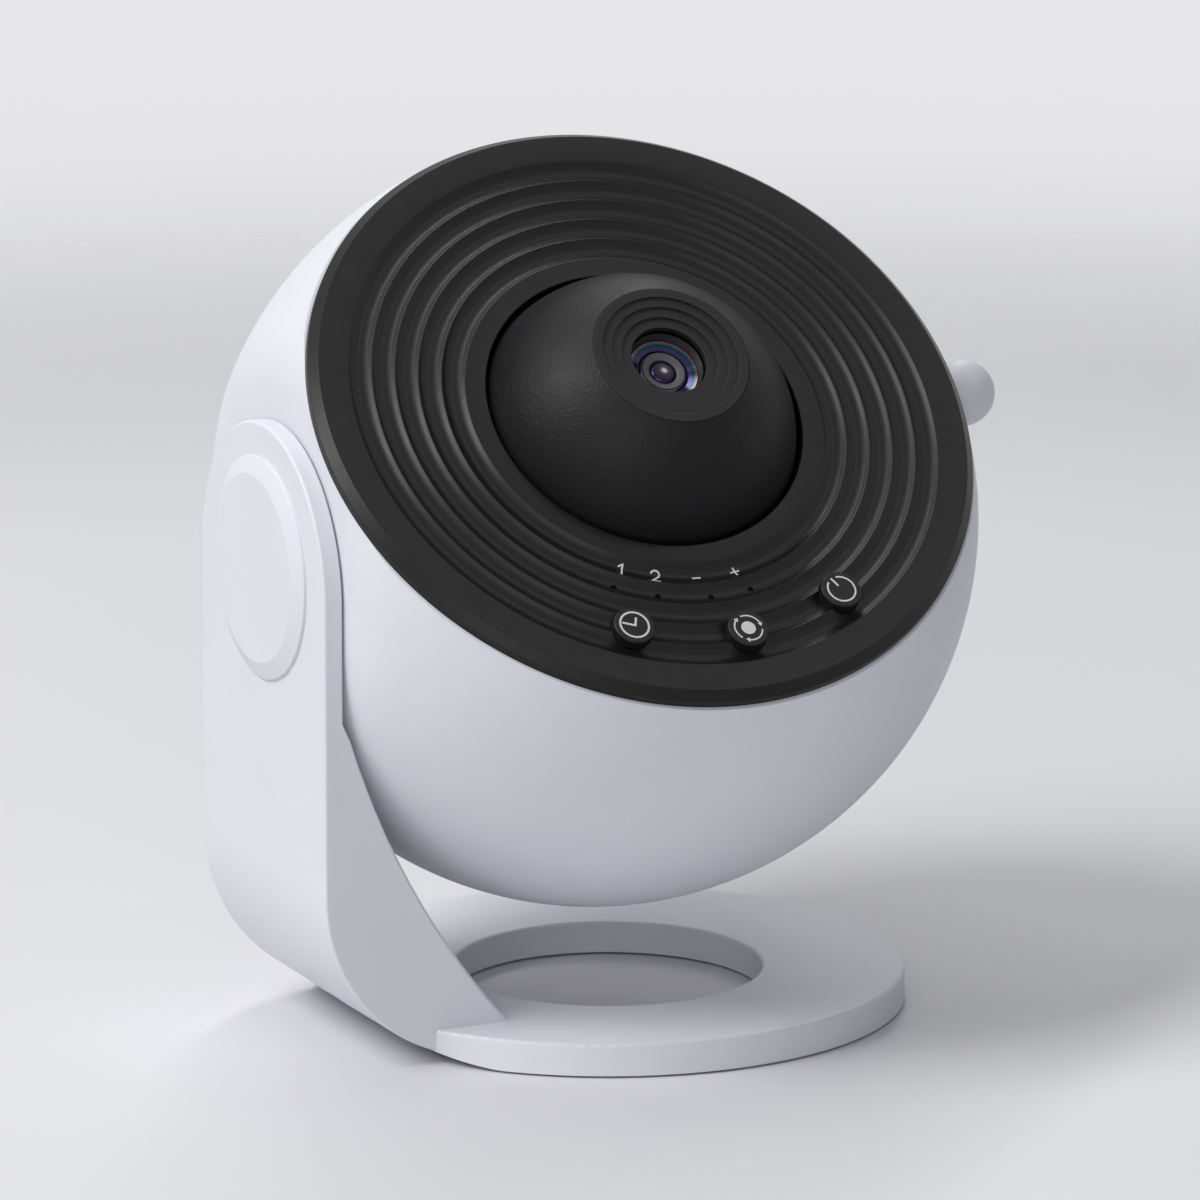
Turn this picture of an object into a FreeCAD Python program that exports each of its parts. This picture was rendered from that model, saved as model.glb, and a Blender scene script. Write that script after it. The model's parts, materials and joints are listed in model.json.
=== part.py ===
import FreeCAD, Part
import Sketcher
import math
import os

# Star projector: a ball-shaped head that tilts on a one-armed stand.
#
# Frames.  The part's own frame has its origin on the floor, in the middle of
# the ring base, with +Z up and the front towards -Y.  The arm stands on the
# -X side.  The head frame has its origin in the middle of the ball, its local
# Z along the optical axis, local Y up the face of the panel, local X as the
# part's X.  Lengths are millimetres and angles degrees.

Vector = FreeCAD.Vector

# --------------------------------------------------------------------------
# Driving dimensions: alias, value, what it is
# --------------------------------------------------------------------------

DIMENSIONS = [
    # fits and gaps
    ("running_fit", 0.05, "radial clearance of a shaft in its bore"),
    ("sliding_fit", 0.10, "radial clearance of a button in its hole"),
    ("clear_gap", 0.3, "air between pieces that pass each other"),
    ("screw_fit", 0.05, "radial clearance round a screw"),
    # ring base and arm
    ("ring_radius", 50.3, "outside of the ring base"),
    ("hole_radius", 26.2, "hole through the ring base"),
    ("ring_top", 5.8, "top of the ring base above the floor"),
    ("soft_edge", 0.5, "rounding of the stand's edges"),
    ("foot_proud", 0.4, "foot pad below the ring base"),
    ("foot_depth", 0.8, "recess that the foot pad is glued into"),
    ("foot_inner_margin", 4.8, "foot pad outside the ring's hole"),
    ("foot_outer_margin", 4.3, "foot pad inside the ring's outside"),
    ("arm_sink", 5.1, "outside of the arm inside the ball's full radius"),
    ("arm_thickness", 3.4, "arm wall beside the ball"),
    ("arm_half_width", 26.0, "half the arm's width"),
    ("arm_top_drop", 3.7, "centre of the arm's round top below the pivot"),
    ("corner_radius", 30.0, "outside corner between arm and base"),
    ("web_start_drop", 21.8, "top of the curved web below the pivot"),
    ("web_margin", 3.7, "foot of the curved web outside the ring's hole"),
    ("web_radius", 145.0, "radius of the curved web's edge"),
    ("dish_gap", 1.2, "air between the ball and the dish in the web"),
    ("base_air", 12.6, "air between the ball and the ring base"),
    ("ring_offset", 3.1, "middle of the ring base beyond the middle of the ball"),
    # pivot
    ("cap_base_radius", 18.8, "pivot cap where it meets the arm"),
    ("cap_top_radius", 15.9, "flat of the pivot cap"),
    ("cap_height", 1.7, "pivot cap above the arm"),
    ("cap_rise", 1.6, "middle of the pivot cap above the round top's centre"),
    ("cap_plug_length", 2.6, "plug of the pivot cap"),
    ("cap_plug_radius", 6.3, "plug of the pivot cap"),
    ("cap_plug_wall", 1.1, "wall of the pivot cap's plug"),
    ("spigot_radius", 9.6, "hollow spigot on the arm that the head turns on"),
    ("spigot_length", 6.5, "spigot beyond the arm"),
    ("spigot_floor", 3.0, "end wall of the spigot"),
    ("bolt_radius", 2.5, "pivot bolt shank"),
    ("bolt_head_radius", 4.6, "pivot bolt head"),
    ("bolt_head_height", 2.8, "pivot bolt head"),
    ("bolt_key_across", 4.0, "key socket of the pivot bolt"),
    ("bolt_key_depth", 1.7, "key socket of the pivot bolt"),
    ("bolt_end", 1.0, "pivot bolt beyond its nut"),
    ("bush_wall", 1.4, "wall of the pivot bush"),
    ("washer_radius", 12.0, "friction washer"),
    ("washer_thickness", 1.0, "friction washer"),
    ("spring_washer_radius", 5.2, "spring washer"),
    ("spring_washer_thickness", 1.1, "spring washer"),
    ("nut_across_flats", 8.0, "pivot nut"),
    ("nut_height", 4.0, "pivot nut"),
    # ball shell
    ("lens_elevation", 47.39, "optical axis above the horizon at rest"),
    ("ball_radius", 65.0, "outside of the ball"),
    ("shell_wall", 2.2, "wall of the ball"),
    ("flat_gap", 0.3, "air between the arm and the ball's flat"),
    ("flat_blend", 20.0, "blend between the ball and its flat"),
    ("mouth_height", 29.07, "mouth of the shell above the middle of the ball"),
    ("cover_height", 43.0, "seam of the rear cover below the middle of the ball"),
    ("boss_count", 4, "screw bosses"),
    ("boss_angle", 45.0, "first screw boss round the axis"),
    ("boss_inset", 6.17, "screw bosses inside the mouth of the shell"),
    ("boss_radius", 3.6, "screw boss"),
    ("boss_length", 7.5, "screw boss of the shell"),
    ("screw_radius", 1.4, "screws"),
    ("screw_head_radius", 2.6, "screw heads"),
    ("screw_head_height", 1.8, "screw heads"),
    ("screw_bite", 8.0, "screw length in its post"),
    # front panel
    ("panel_proud", 2.93, "face of the panel above the mouth of the shell"),
    ("panel_lip", 0.54, "rim of the shell outside the panel"),
    ("panel_chamfer", 1.5, "chamfer of the panel's rim"),
    ("panel_plate", 2.6, "panel plate"),
    ("spigot_wall", 1.6, "locating wall under the panel"),
    ("spigot_drop", 3.2, "locating wall under the panel"),
    ("groove_start", 31.0, "inside of the first ring groove"),
    ("groove_margin", 5.1, "flat outside the ring grooves"),
    ("groove_count", 5, "ring grooves"),
    ("groove_depth", 0.9, "ring grooves"),
    ("dome_gap", 0.4, "air between the panel's hole and the dome"),
    # buttons and lights
    ("button_inset", 12.1, "buttons inside the panel's rim"),
    ("button_radius", 3.5, "buttons"),
    ("button_proud", 1.3, "buttons above the panel"),
    ("button_chamfer", 0.3, "edge of a button"),
    ("button_flange", 0.9, "width of the flange that keeps a button in"),
    ("button_flange_thickness", 1.0, "flange of a button"),
    ("button_travel", 0.6, "stroke of a button"),
    ("timer_angle", -111.3, "timer button round the panel"),
    ("rotation_angle", -86.2, "rotation button round the panel"),
    ("power_angle", -61.3, "power button round the panel"),
    ("light_one_angle", -116.4, "first indicator light round the panel"),
    ("light_two_angle", -104.8, "second indicator light round the panel"),
    ("light_three_angle", -90.5, "third indicator light round the panel"),
    ("light_four_angle", -79.1, "fourth indicator light round the panel"),
    ("light_inset", 8.1, "indicator lights inside the circle of the buttons"),
    ("light_radius", 0.5, "indicator lights"),
    ("light_sink", 0.15, "lights below the panel's surface"),
    ("board_thickness", 1.6, "circuit boards"),
    ("button_board_depth", 4.4, "face of the button board below the panel plate"),
    ("button_board_inside", 11.0, "button board inside the circle of the buttons"),
    ("button_board_outside", 5.0, "button board outside the circle of the buttons"),
    ("button_board_start", -124.0, "end of the button board round the panel"),
    ("button_board_sweep", 70.0, "button board round the panel"),
    ("board_pin_inset", 3.5, "button board's pins inside the circle of the buttons"),
    ("board_pin_radius", 1.5, "pins of the button board"),
    ("pin_one_angle", -99.0, "first pin round the panel"),
    ("pin_two_angle", -73.5, "second pin round the panel"),
    ("switch_side", 4.5, "switch body"),
    ("switch_height", 1.5, "switch body"),
    ("switch_stem_radius", 1.2, "switch stem"),
    ("switch_free", 0.15, "air left over a switch stem at full stroke"),
    # dome and lens
    ("dome_sink", 8.7, "middle of the dome's sphere below the face of the panel"),
    ("dome_radius", 27.7, "sphere of the dome"),
    ("skirt_inset", 0.8, "cylinder below the dome inside the sphere"),
    ("dome_wall", 2.0, "wall of the dome"),
    ("dome_air", 0.6, "lower edge of the dome above the frame's deck"),
    ("nose_proud", 0.085, "face of the nose ring above the dome's rim"),
    ("nose_ledge", 1.6, "ledge under the nose ring"),
    ("nose_ledge_gap", 2.4, "ledge under the nose ring outside the lens barrel"),
    ("nose_radius", 13.4, "nose ring"),
    ("nose_thickness", 2.4, "nose ring"),
    ("nose_step_height", 0.45, "steps of the nose ring"),
    ("nose_step_one", 11.8, "first step of the nose ring"),
    ("nose_step_two", 10.1, "second step of the nose ring"),
    ("nose_step_three", 8.3, "third step of the nose ring"),
    ("nose_opening", 6.5, "opening of the nose ring"),
    ("lug_count", 3, "bayonet lugs"),
    ("lug_width", 6.0, "bayonet lugs"),
    ("lug_height", 2.4, "bayonet lugs"),
    ("lug_depth", 1.3, "bayonet lugs into the mount"),
    ("lug_rise", 2.4, "lower side of the lugs above the frame's deck"),
    ("twist_angle", 35.0, "turn that frees the dome"),
    ("mount_height", 10.0, "lens mount"),
    ("mount_wall", 3.4, "wall of the lens mount"),
    ("mount_flange", 1.8, "flange of the lens mount"),
    ("mount_flange_width", 4.7, "flange of the lens mount"),
    ("mount_screw_inset", 2.2, "lens mount's screws inside its wall"),
    ("mount_screw_count", 3, "lens mount's screws"),
    ("barrel_radius", 8.4, "lens barrel"),
    ("barrel_bore", 7.0, "bore of the lens barrel"),
    ("barrel_bottom", 4.6, "lower end of the lens barrel"),
    ("barrel_sink", 4.6, "upper end of the lens barrel below the nose ring's face"),
    ("sleeve_wall", 1.8, "wall of the lens sleeve"),
    ("sleeve_air", 1.0, "lower end of the lens sleeve above the frame's deck"),
    ("sleeve_nose", 9.0, "lens sleeve above its flange"),
    ("sleeve_flange", 2.0, "flange of the lens sleeve"),
    ("sleeve_flange_air", 1.0, "flange of the lens sleeve above the lens mount"),
    ("flange_ledge", 1.6, "ledge of the dome over the sleeve's flange"),
    ("focus_travel", 1.8, "lens carriage either way"),
    ("key_width", 1.6, "key of the lens barrel"),
    ("key_height", 1.2, "key of the lens barrel"),
    ("key_length", 7.0, "key of the lens barrel"),
    ("lens_ledge", 0.8, "ledge of the barrel that the lenses stand against"),
    ("front_lens_edge", 2.0, "edge of the front lens"),
    ("front_lens_crown", 1.8, "crown of the front lens above the barrel"),
    ("rear_lens_middle", 9.0, "middle of the rear lens above the middle of the ball"),
    ("rear_lens_edge", 1.6, "edge of the rear lens"),
    ("rear_lens_crown", 1.2, "crown of the rear lens"),
    ("lens_ring_width", 1.0, "width of the rings that hold the lenses"),
    ("lens_ring_height", 1.2, "rings that hold the lenses"),
    # focus drive
    ("shaft_drop", 4.3, "focus shaft below the frame's deck"),
    ("shaft_radius", 1.5, "focus shaft"),
    ("shaft_inner_end", -6.0, "inner end of the focus shaft"),
    ("rack_module", 0.4, "tooth size of the focus drive"),
    ("pinion_teeth", 12, "focus pinion"),
    ("pinion_width", 5.0, "focus pinion"),
    ("rack_teeth", 6, "focus rack"),
    ("rack_floor", 0.18, "foot of the rack's teeth above the barrel"),
    ("rack_addendum", 0.8, "rack teeth above the pitch line, in tooth sizes"),
    ("rack_dedendum", 1.3, "rack teeth below the pitch line, in tooth sizes"),
    ("wheel_addendum", 0.95, "wheel teeth outside the pitch circle, in tooth sizes"),
    ("wheel_dedendum", 1.2, "wheel teeth inside the pitch circle, in tooth sizes"),
    ("pressure_angle", 20.0, "flank of the teeth"),
    ("root_bite", 0.4, "overlap of a rib or key with its wall"),
    ("rack_angle", 30.0, "focus rack round the barrel"),
    ("tooth_play", 0.12, "play between teeth"),
    ("knob_radius", 5.7, "ball knob"),
    ("neck_radius", 2.6, "neck of the ball knob"),
    ("neck_length", 1.02, "neck of the ball knob"),
    ("knob_bush_radius", 3.6, "bush of the focus shaft"),
    ("knob_bush_proud", 0.4, "bush of the focus shaft outside the shell"),
    ("knob_bush_length", 6.7, "bush of the focus shaft"),
    # engine frame and star film
    ("deck_top", 16.0, "upper side of the frame's deck"),
    ("deck_thickness", 2.5, "frame's deck"),
    ("deck_rim", 4.0, "decks outside the circle of the legs"),
    ("deck_hole_gap", 2.2, "hole in the deck outside the barrel"),
    ("bearing_width", 3.0, "bearing blocks of the focus shaft"),
    ("bearing_wall", 0.5, "bearing blocks beside the focus shaft"),
    ("leg_count", 3, "frame's legs"),
    ("leg_angle", 90.0, "first leg round the axis"),
    ("leg_circle", 31.5, "circle of the frame's legs"),
    ("leg_radius", 2.6, "frame's legs"),
    ("film_radius", 8.3, "star film"),
    ("film_thickness", 1.0, "star film"),
    ("film_level", -1.2, "upper side of the star film"),
    ("carrier_ledge", 1.3, "ledge under the star film"),
    ("seat_rise", 0.2, "ledge under the star film above the gear's lower face"),
    ("clip_height", 0.8, "clip on the star film"),
    ("clip_width", 1.0, "clip on the star film"),
    ("hub_radius", 11.6, "hub of the film carrier"),
    ("hub_bottom", -6.0, "lower end of the film carrier's hub"),
    ("gear_module", 0.8, "tooth size of the film drive"),
    ("carrier_teeth", 36, "film carrier"),
    ("gear_width", 3.0, "film carrier's gear"),
    ("motor_teeth", 12, "motor pinion"),
    ("track_width", 4.0, "ring that the film carrier turns in"),
    ("track_air", 0.2, "air between that ring and the film carrier's gear"),
    # lamp and motor
    ("lamp_deck_top", -14.5, "upper side of the lamp deck"),
    ("lamp_deck_thickness", 2.5, "lamp deck"),
    ("lamp_screw_circle", 16.2, "circle of the lamp's screws"),
    ("lamp_screw_count", 2, "lamp's screws"),
    ("lamp_hole", 8.2, "hole in the lamp deck"),
    ("condenser_radius", 8.0, "condenser lens"),
    ("condenser_edge", 1.2, "edge of the condenser lens"),
    ("condenser_crown", 3.0, "crown of the condenser lens"),
    ("condenser_level", -11.5, "flat of the condenser lens"),
    ("condenser_ledge", 1.0, "ledge under the condenser lens"),
    ("holder_wall", 1.4, "wall of the condenser holder"),
    ("holder_lip", 1.0, "condenser holder above the lens's edge"),
    ("led_board_rim", 1.8, "lamp's circuit board outside its screws' circle"),
    ("led_side", 3.5, "lamp"),
    ("led_height", 1.0, "lamp"),
    ("sink_core_height", 3.0, "block of the heat sink"),
    ("fin_height", 9.0, "fins of the heat sink"),
    ("fin_thickness", 1.2, "fins of the heat sink"),
    ("fin_count", 7, "fins of the heat sink"),
    ("motor_angle", 150.0, "motor round the optical axis"),
    ("motor_radius", 7.5, "motor"),
    ("motor_height", 6.0, "motor"),
    ("motor_shaft_radius", 1.0, "motor shaft"),
    ("ear_thickness", 1.2, "ears of the motor"),
    # rear cover and supply
    ("main_board_level", -36.0, "upper side of the main board"),
    ("main_board_gap", 2.4, "air between the main board and the cover's bosses"),
    ("board_post_radius", 3.0, "posts of the main board"),
    ("board_post_gap", 1.0, "wall between these posts and the air slots"),
    ("board_screw_bite", 5.0, "main board's screws in their posts"),
    ("component_margin", 5.0, "components inside the main board's edge"),
    ("chip_height", 1.4, "flat components"),
    ("chip_side", 10.0, "processor"),
    ("driver_width", 6.0, "lamp driver"),
    ("driver_length", 8.0, "lamp driver"),
    ("connector_width", 4.5, "connector"),
    ("connector_length", 12.0, "connector"),
    ("capacitor_radius", 3.2, "capacitors"),
    ("capacitor_height", 5.5, "capacitors"),
    ("capacitor_pitch", 7.4, "capacitors"),
    ("cover_lip", 2.4, "lip of the rear cover inside the shell"),
    ("cover_boss_inset", 5.77, "cover's screws inside the rear opening"),
    ("cover_boss_length", 4.0, "cover's screw bosses"),
    ("cover_head_sink", 1.6, "seat of the cover's screw heads below the seam"),
    ("vent_count", 16, "air slots of the rear cover"),
    ("vent_width", 2.4, "air slots of the rear cover"),
    ("vent_length", 9.0, "air slots of the rear cover"),
    ("vent_gap", 1.4, "wall between the air slots and the cover's posts"),
    ("usb_drop", 12.0, "supply socket below the middle of the rear cover"),
    ("usb_width", 9.0, "supply socket"),
    ("usb_height", 3.2, "supply socket"),
    ("usb_depth", 7.4, "supply socket"),
    ("usb_wall", 0.3, "sheet metal of the supply socket"),
    ("usb_sink", 1.2, "supply socket below the cover's surface"),
    ("usb_tongue_sink", 1.0, "tongue of the supply socket behind its mouth"),
    ("power_board_width", 22.0, "board of the supply socket"),
    ("rail_length", 12.0, "rails that hold this board"),
    ("rail_width", 3.0, "rails that hold this board"),
]

# --------------------------------------------------------------------------
# Sizes that carry their own sheet expression
# --------------------------------------------------------------------------


class Size:
    """A size known both as a number and as an expression on the sheet."""

    def __init__(self, value, text):
        self.value = float(value)
        self.text = text

    def joined(self, other, sign, value):
        return Size(value, f"({self.text} {sign} {other.text})")

    def __add__(self, other):
        other = as_size(other)
        return self.joined(other, "+", self.value + other.value)

    def __sub__(self, other):
        other = as_size(other)
        return self.joined(other, "-", self.value - other.value)

    def __mul__(self, other):
        other = as_size(other)
        return self.joined(other, "*", self.value * other.value)

    def __truediv__(self, other):
        other = as_size(other)
        return self.joined(other, "/", self.value / other.value)

    def __radd__(self, other):
        return as_size(other) + self

    def __rsub__(self, other):
        return as_size(other) - self

    def __rmul__(self, other):
        return as_size(other) * self

    def __neg__(self):
        return Size(-self.value, f"(0 - {self.text})")


def as_size(number):
    if isinstance(number, Size):
        return number
    return Size(number, repr(float(number)))


def root(size):
    return Size(math.sqrt(size.value), f"sqrt({size.text})")


def leg(hypotenuse, side):
    """The other short side of a right triangle."""
    return root(hypotenuse * hypotenuse - side * side)


def cosine(angle):
    angle = as_size(angle)
    return Size(math.cos(math.radians(angle.value)), f"cos({angle.text})")


def sine(angle):
    angle = as_size(angle)
    return Size(math.sin(math.radians(angle.value)), f"sin({angle.text})")


def polar(radius, angle):
    return radius * cosine(angle), radius * sine(angle)


def arc_angle(length, radius):
    """Angle in degrees of an arc of this length."""
    return length / radius * math.degrees(1.0)


def turned_point(across, along, angle):
    """The point (across, along) turned about the origin."""
    return (across * cosine(angle) - along * sine(angle),
            across * sine(angle) + along * cosine(angle))


def bow_centre(start, end, radius):
    """Centre of the arc from start to end that lies to the right of the way."""
    across = end[0] - start[0]
    along = end[1] - start[1]
    chord = root(across * across + along * along)
    height = leg(radius, chord / 2.0)
    return ((start[0] + end[0]) / 2.0 + height * along / chord,
            (start[1] + end[1]) / 2.0 - height * across / chord)


def cap_sphere(radius, height):
    """Radius of the sphere whose cap has this base radius and height."""
    return (radius * radius + height * height) / (2.0 * height)


document = FreeCAD.newDocument("star_projector")
sheet = document.addObject("Spreadsheet::Sheet", "Sizes")
size = {}
for row, (alias, value, note) in enumerate(DIMENSIONS, 1):
    sheet.set(f"A{row}", note)
    sheet.set(f"B{row}", repr(value))
    sheet.setAlias(f"B{row}", alias)
    size[alias] = Size(value, f"Sizes.{alias}")
document.recompute()


class Sizes:
    """The sheet's sizes by name."""

    def __getattr__(self, alias):
        return size[alias]


s = Sizes()

# --------------------------------------------------------------------------
# Places and sizes that follow from the driving ones
# --------------------------------------------------------------------------

# pivot, ball and panel
PIVOT_X = -s.ring_offset
PIVOT_HEIGHT = s.ring_top + s.base_air + s.ball_radius
ARM_OFFSET = s.ball_radius - s.arm_sink
INNER_BALL = s.ball_radius - s.shell_wall
MOUTH_INNER = leg(INNER_BALL, s.mouth_height)
BOSS_CIRCLE = MOUTH_INNER - s.boss_inset
PANEL_FACE = s.mouth_height + s.panel_proud
PANEL_RADIUS = leg(s.ball_radius, s.mouth_height) - s.panel_lip
GROOVE_END = PANEL_RADIUS - s.panel_chamfer - s.groove_margin
GROOVE_PITCH = (GROOVE_END - s.groove_start) / s.groove_count
BUTTON_CIRCLE = PANEL_RADIUS - s.button_inset
LIGHT_CIRCLE = BUTTON_CIRCLE - s.light_inset
BOARD_PIN_CIRCLE = BUTTON_CIRCLE - s.board_pin_inset
SCREW_HOLE = s.screw_radius + s.screw_fit

# rear cover
COVER_SEAM = -s.cover_height
COVER_RADIUS = leg(s.ball_radius, s.cover_height)
COVER_INNER = leg(INNER_BALL, s.cover_height)
COVER_BOSS_CIRCLE = COVER_INNER - s.cover_boss_inset
COVER_BOSS_BOTTOM = COVER_SEAM + s.cover_lip + s.clear_gap
COVER_HEAD_SEAT = COVER_SEAM - s.cover_head_sink
VENT_OUTER = COVER_BOSS_CIRCLE - s.boss_radius - s.vent_gap
VENT_INNER = VENT_OUTER - s.vent_length
BOARD_POST_CIRCLE = VENT_INNER - s.board_post_radius - s.board_post_gap
BOARD_BOTTOM = s.main_board_level - s.board_thickness
MAIN_BOARD_RADIUS = COVER_BOSS_CIRCLE - s.boss_radius - s.main_board_gap

# dome, its mount and the lens
DECK_BOTTOM = s.deck_top - s.deck_thickness
DECK_RADIUS = s.leg_circle + s.deck_rim
DOME_CENTRE = PANEL_FACE - s.dome_sink
DOME_BOTTOM = s.deck_top + s.dome_air
DOME_INNER = s.dome_radius - s.dome_wall
SKIRT_OUTER = s.dome_radius - s.skirt_inset
SKIRT_INNER = SKIRT_OUTER - s.dome_wall
DOME_HOLE = SKIRT_OUTER + s.dome_gap
NOSE_BORE = s.nose_radius + s.running_fit
NOSE_RIM = DOME_CENTRE + leg(s.dome_radius, NOSE_BORE)
NOSE_FACE = NOSE_RIM + s.nose_proud
NOSE_SEAT = NOSE_FACE - s.nose_thickness
LEDGE_BOTTOM = NOSE_SEAT - s.nose_ledge
LEDGE_RADIUS = s.barrel_radius + s.nose_ledge_gap
MOUNT_TOP = s.deck_top + s.mount_height
MOUNT_OUTER = SKIRT_INNER - s.clear_gap
MOUNT_INNER = MOUNT_OUTER - s.mount_wall
MOUNT_FLANGE_INNER = MOUNT_INNER - s.mount_flange_width
MOUNT_SCREW_CIRCLE = MOUNT_INNER - s.mount_screw_inset
LUG_BOTTOM = s.deck_top + s.lug_rise
SLEEVE_BORE = s.barrel_radius + s.running_fit
SLEEVE_OUTER = SLEEVE_BORE + s.sleeve_wall
FLANGE_BOTTOM = MOUNT_TOP + s.sleeve_flange_air
FLANGE_TOP = FLANGE_BOTTOM + s.sleeve_flange
BARREL_TOP = NOSE_FACE - s.barrel_sink
LENS_RADIUS = s.barrel_bore - s.sliding_fit
LENS_LEDGE = s.barrel_bore - s.lens_ledge
REAR_LENS_SEAT = s.rear_lens_middle + s.rear_lens_edge / 2.0
FRONT_LENS_SEAT = BARREL_TOP - s.lens_ring_height - s.front_lens_edge

# focus drive
PINION_PITCH = s.rack_module * s.pinion_teeth / 2.0
RACK_PITCH_LINE = s.barrel_radius + s.rack_floor + s.rack_module * s.rack_dedendum
SHAFT_RISE = RACK_PITCH_LINE + PINION_PITCH
SHAFT_LEVEL = DECK_BOTTOM - s.shaft_drop
SHAFT_EXIT = leg(leg(s.ball_radius, SHAFT_RISE), SHAFT_LEVEL)
KNOB_BUSH_OUTER = SHAFT_EXIT + s.knob_bush_proud
KNOB_BUSH_INNER = KNOB_BUSH_OUTER - s.knob_bush_length
NECK_START = KNOB_BUSH_OUTER + s.clear_gap
NECK_END = NECK_START + s.neck_length
KNOB_OFFSET = NECK_END + leg(s.knob_radius, s.neck_radius)

# --------------------------------------------------------------------------
# Frames, as placement expressions
# --------------------------------------------------------------------------


def frame_text(base, axis=(0, 0, 1), angle=0.0, parent=None):
    base_text = "; ".join(as_size(value).text for value in base)
    axis_text = "; ".join(str(value) for value in axis)
    turn = f"rotation(vector({axis_text}); {as_size(angle).text})"
    text = f"placement(vector({base_text}); {turn})"
    return f"{parent} * {text}" if parent else text


ACROSS = (0, 1, 0)

HEAD = frame_text((PIVOT_X, 0, PIVOT_HEIGHT), (1, 0, 0), 90.0 - s.lens_elevation)
PIVOT = frame_text((PIVOT_X, 0, PIVOT_HEIGHT), ACROSS, 90.0)
FOCUS = frame_text((0, SHAFT_RISE, SHAFT_LEVEL), ACROSS, 90.0, HEAD)

# --------------------------------------------------------------------------
# Drawing and feature helpers
# --------------------------------------------------------------------------

PIECES = []


def bind(thing, name, value):
    thing.setExpression(name, as_size(value).text)


def new_body(name, frame=None):
    body = document.addObject("PartDesign::Body", name)
    body.Label = name
    body.AllowCompound = True
    if frame:
        body.setExpression("Placement", frame)
    PIECES.append(body)
    return body


def origin_feature(body, role):
    return next(item for item in body.Origin.OriginFeatures if item.Role == role)


def new_sketch(body, name, plane, lift=0.0, rise=0.0):
    """A sketch on an origin plane, moved by lift along the plane's normal."""
    sketch = body.newObject("Sketcher::SketchObject", name + "_sketch")
    sketch.AttachmentSupport = [(origin_feature(body, plane), "")]
    sketch.MapMode = "FlatFace"
    bind(sketch, "AttachmentOffset.Base.z", lift)
    bind(sketch, "AttachmentOffset.Base.y", rise)
    return sketch


def pin(sketch, kind, geometry, point, value):
    value = as_size(value)
    index = sketch.addConstraint(
        Sketcher.Constraint(kind, -1, 1, geometry, point, value.value))
    sketch.setExpression(f"Constraints[{index}]", value.text)


def pin_point(sketch, geometry, point, place):
    pin(sketch, "DistanceX", geometry, point, place[0])
    pin(sketch, "DistanceY", geometry, point, place[1])


def flat(place):
    return Vector(as_size(place[0]).value, as_size(place[1]).value, 0)


def draw_circle(sketch, place, radius):
    radius = as_size(radius)
    circle = Part.Circle(flat(place), Vector(0, 0, 1), radius.value)
    geometry = sketch.addGeometry(circle)
    pin_point(sketch, geometry, 3, place)
    index = sketch.addConstraint(Sketcher.Constraint("Radius", geometry, radius.value))
    sketch.setExpression(f"Constraints[{index}]", radius.text)


def draw_edge(sketch, start, corner):
    """Draw the edge from start to corner; return it with its two end numbers."""
    first = flat(start)
    last = flat(corner)
    if len(corner) == 2:
        return sketch.addGeometry(Part.LineSegment(first, last)), 1, 2
    centre = corner[2:4]
    middle = flat(centre)
    opening, closing = (first, last) if corner[4] > 0 else (last, first)
    low = math.atan2(opening.y - middle.y, opening.x - middle.x)
    high = math.atan2(closing.y - middle.y, closing.x - middle.x)
    while high <= low:
        high += 2 * math.pi
    circle = Part.Circle(middle, Vector(0, 0, 1), (first - middle).Length)
    geometry = sketch.addGeometry(Part.ArcOfCircle(circle, low, high))
    chord = last - first
    if abs(chord.x) > abs(chord.y):
        pin(sketch, "DistanceY", geometry, 3, centre[1])
    else:
        pin(sketch, "DistanceX", geometry, 3, centre[0])
    return (geometry, 1, 2) if corner[4] > 0 else (geometry, 2, 1)


def draw_outline(sketch, corners):
    """Draw a closed outline.

    A corner is (across, up), reached by a straight line, or
    (across, up, centre across, centre up, turn), reached by an arc that goes
    anticlockwise when turn is 1 and clockwise when it is -1.
    """
    edges = [draw_edge(sketch, corners[number - 1][:2], corner)
             for number, corner in enumerate(corners)]
    for number, (geometry, tail, head) in enumerate(edges):
        follower, next_tail, next_head = edges[(number + 1) % len(edges)]
        sketch.addConstraint(
            Sketcher.Constraint("Coincident", geometry, head, follower, next_tail))
        pin_point(sketch, geometry, head, corners[number][:2])


def circles(*places_and_radii):
    def draw(sketch):
        for place, radius in places_and_radii:
            draw_circle(sketch, place, radius)
    return draw


def outline(*corners):
    def draw(sketch):
        draw_outline(sketch, corners)
    return draw


def outlines(*loops):
    def draw(sketch):
        for corners in loops:
            draw_outline(sketch, corners)
    return draw


def rectangle(left, right, low, high):
    return ((left, low), (right, low), (right, high), (left, high))


def ring(outer, inner):
    return circles(((0, 0), outer), ((0, 0), inner))


def sector_outline(inner, outer, start, end):
    """A sector of a flat ring about the origin."""
    return (polar(inner, start) + (0.0, 0.0, -1),
            polar(outer, start),
            polar(outer, end) + (0.0, 0.0, 1),
            polar(inner, end))


def tongue(reach, root_radius, half_width, angle):
    """A tongue from root_radius to a round end about reach, at an angle."""
    tip = turned_point(reach, as_size(0.0), angle)
    side = half_width if as_size(root_radius).value < as_size(reach).value else -half_width
    return (turned_point(root_radius, -side, angle),
            turned_point(reach, -side, angle),
            turned_point(reach, side, angle) + tip + (1,),
            turned_point(root_radius, side, angle))


def pad(body, name, plane, draw, lift, length, middle=False):
    """Solid from the plane's lift to lift plus length along the plane's normal."""
    sketch = new_sketch(body, name, plane, lift)
    draw(sketch)
    feature = body.newObject("PartDesign::Pad", name)
    feature.Profile = sketch
    feature.Midplane = middle
    bind(feature, "Length", length)
    return feature


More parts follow.
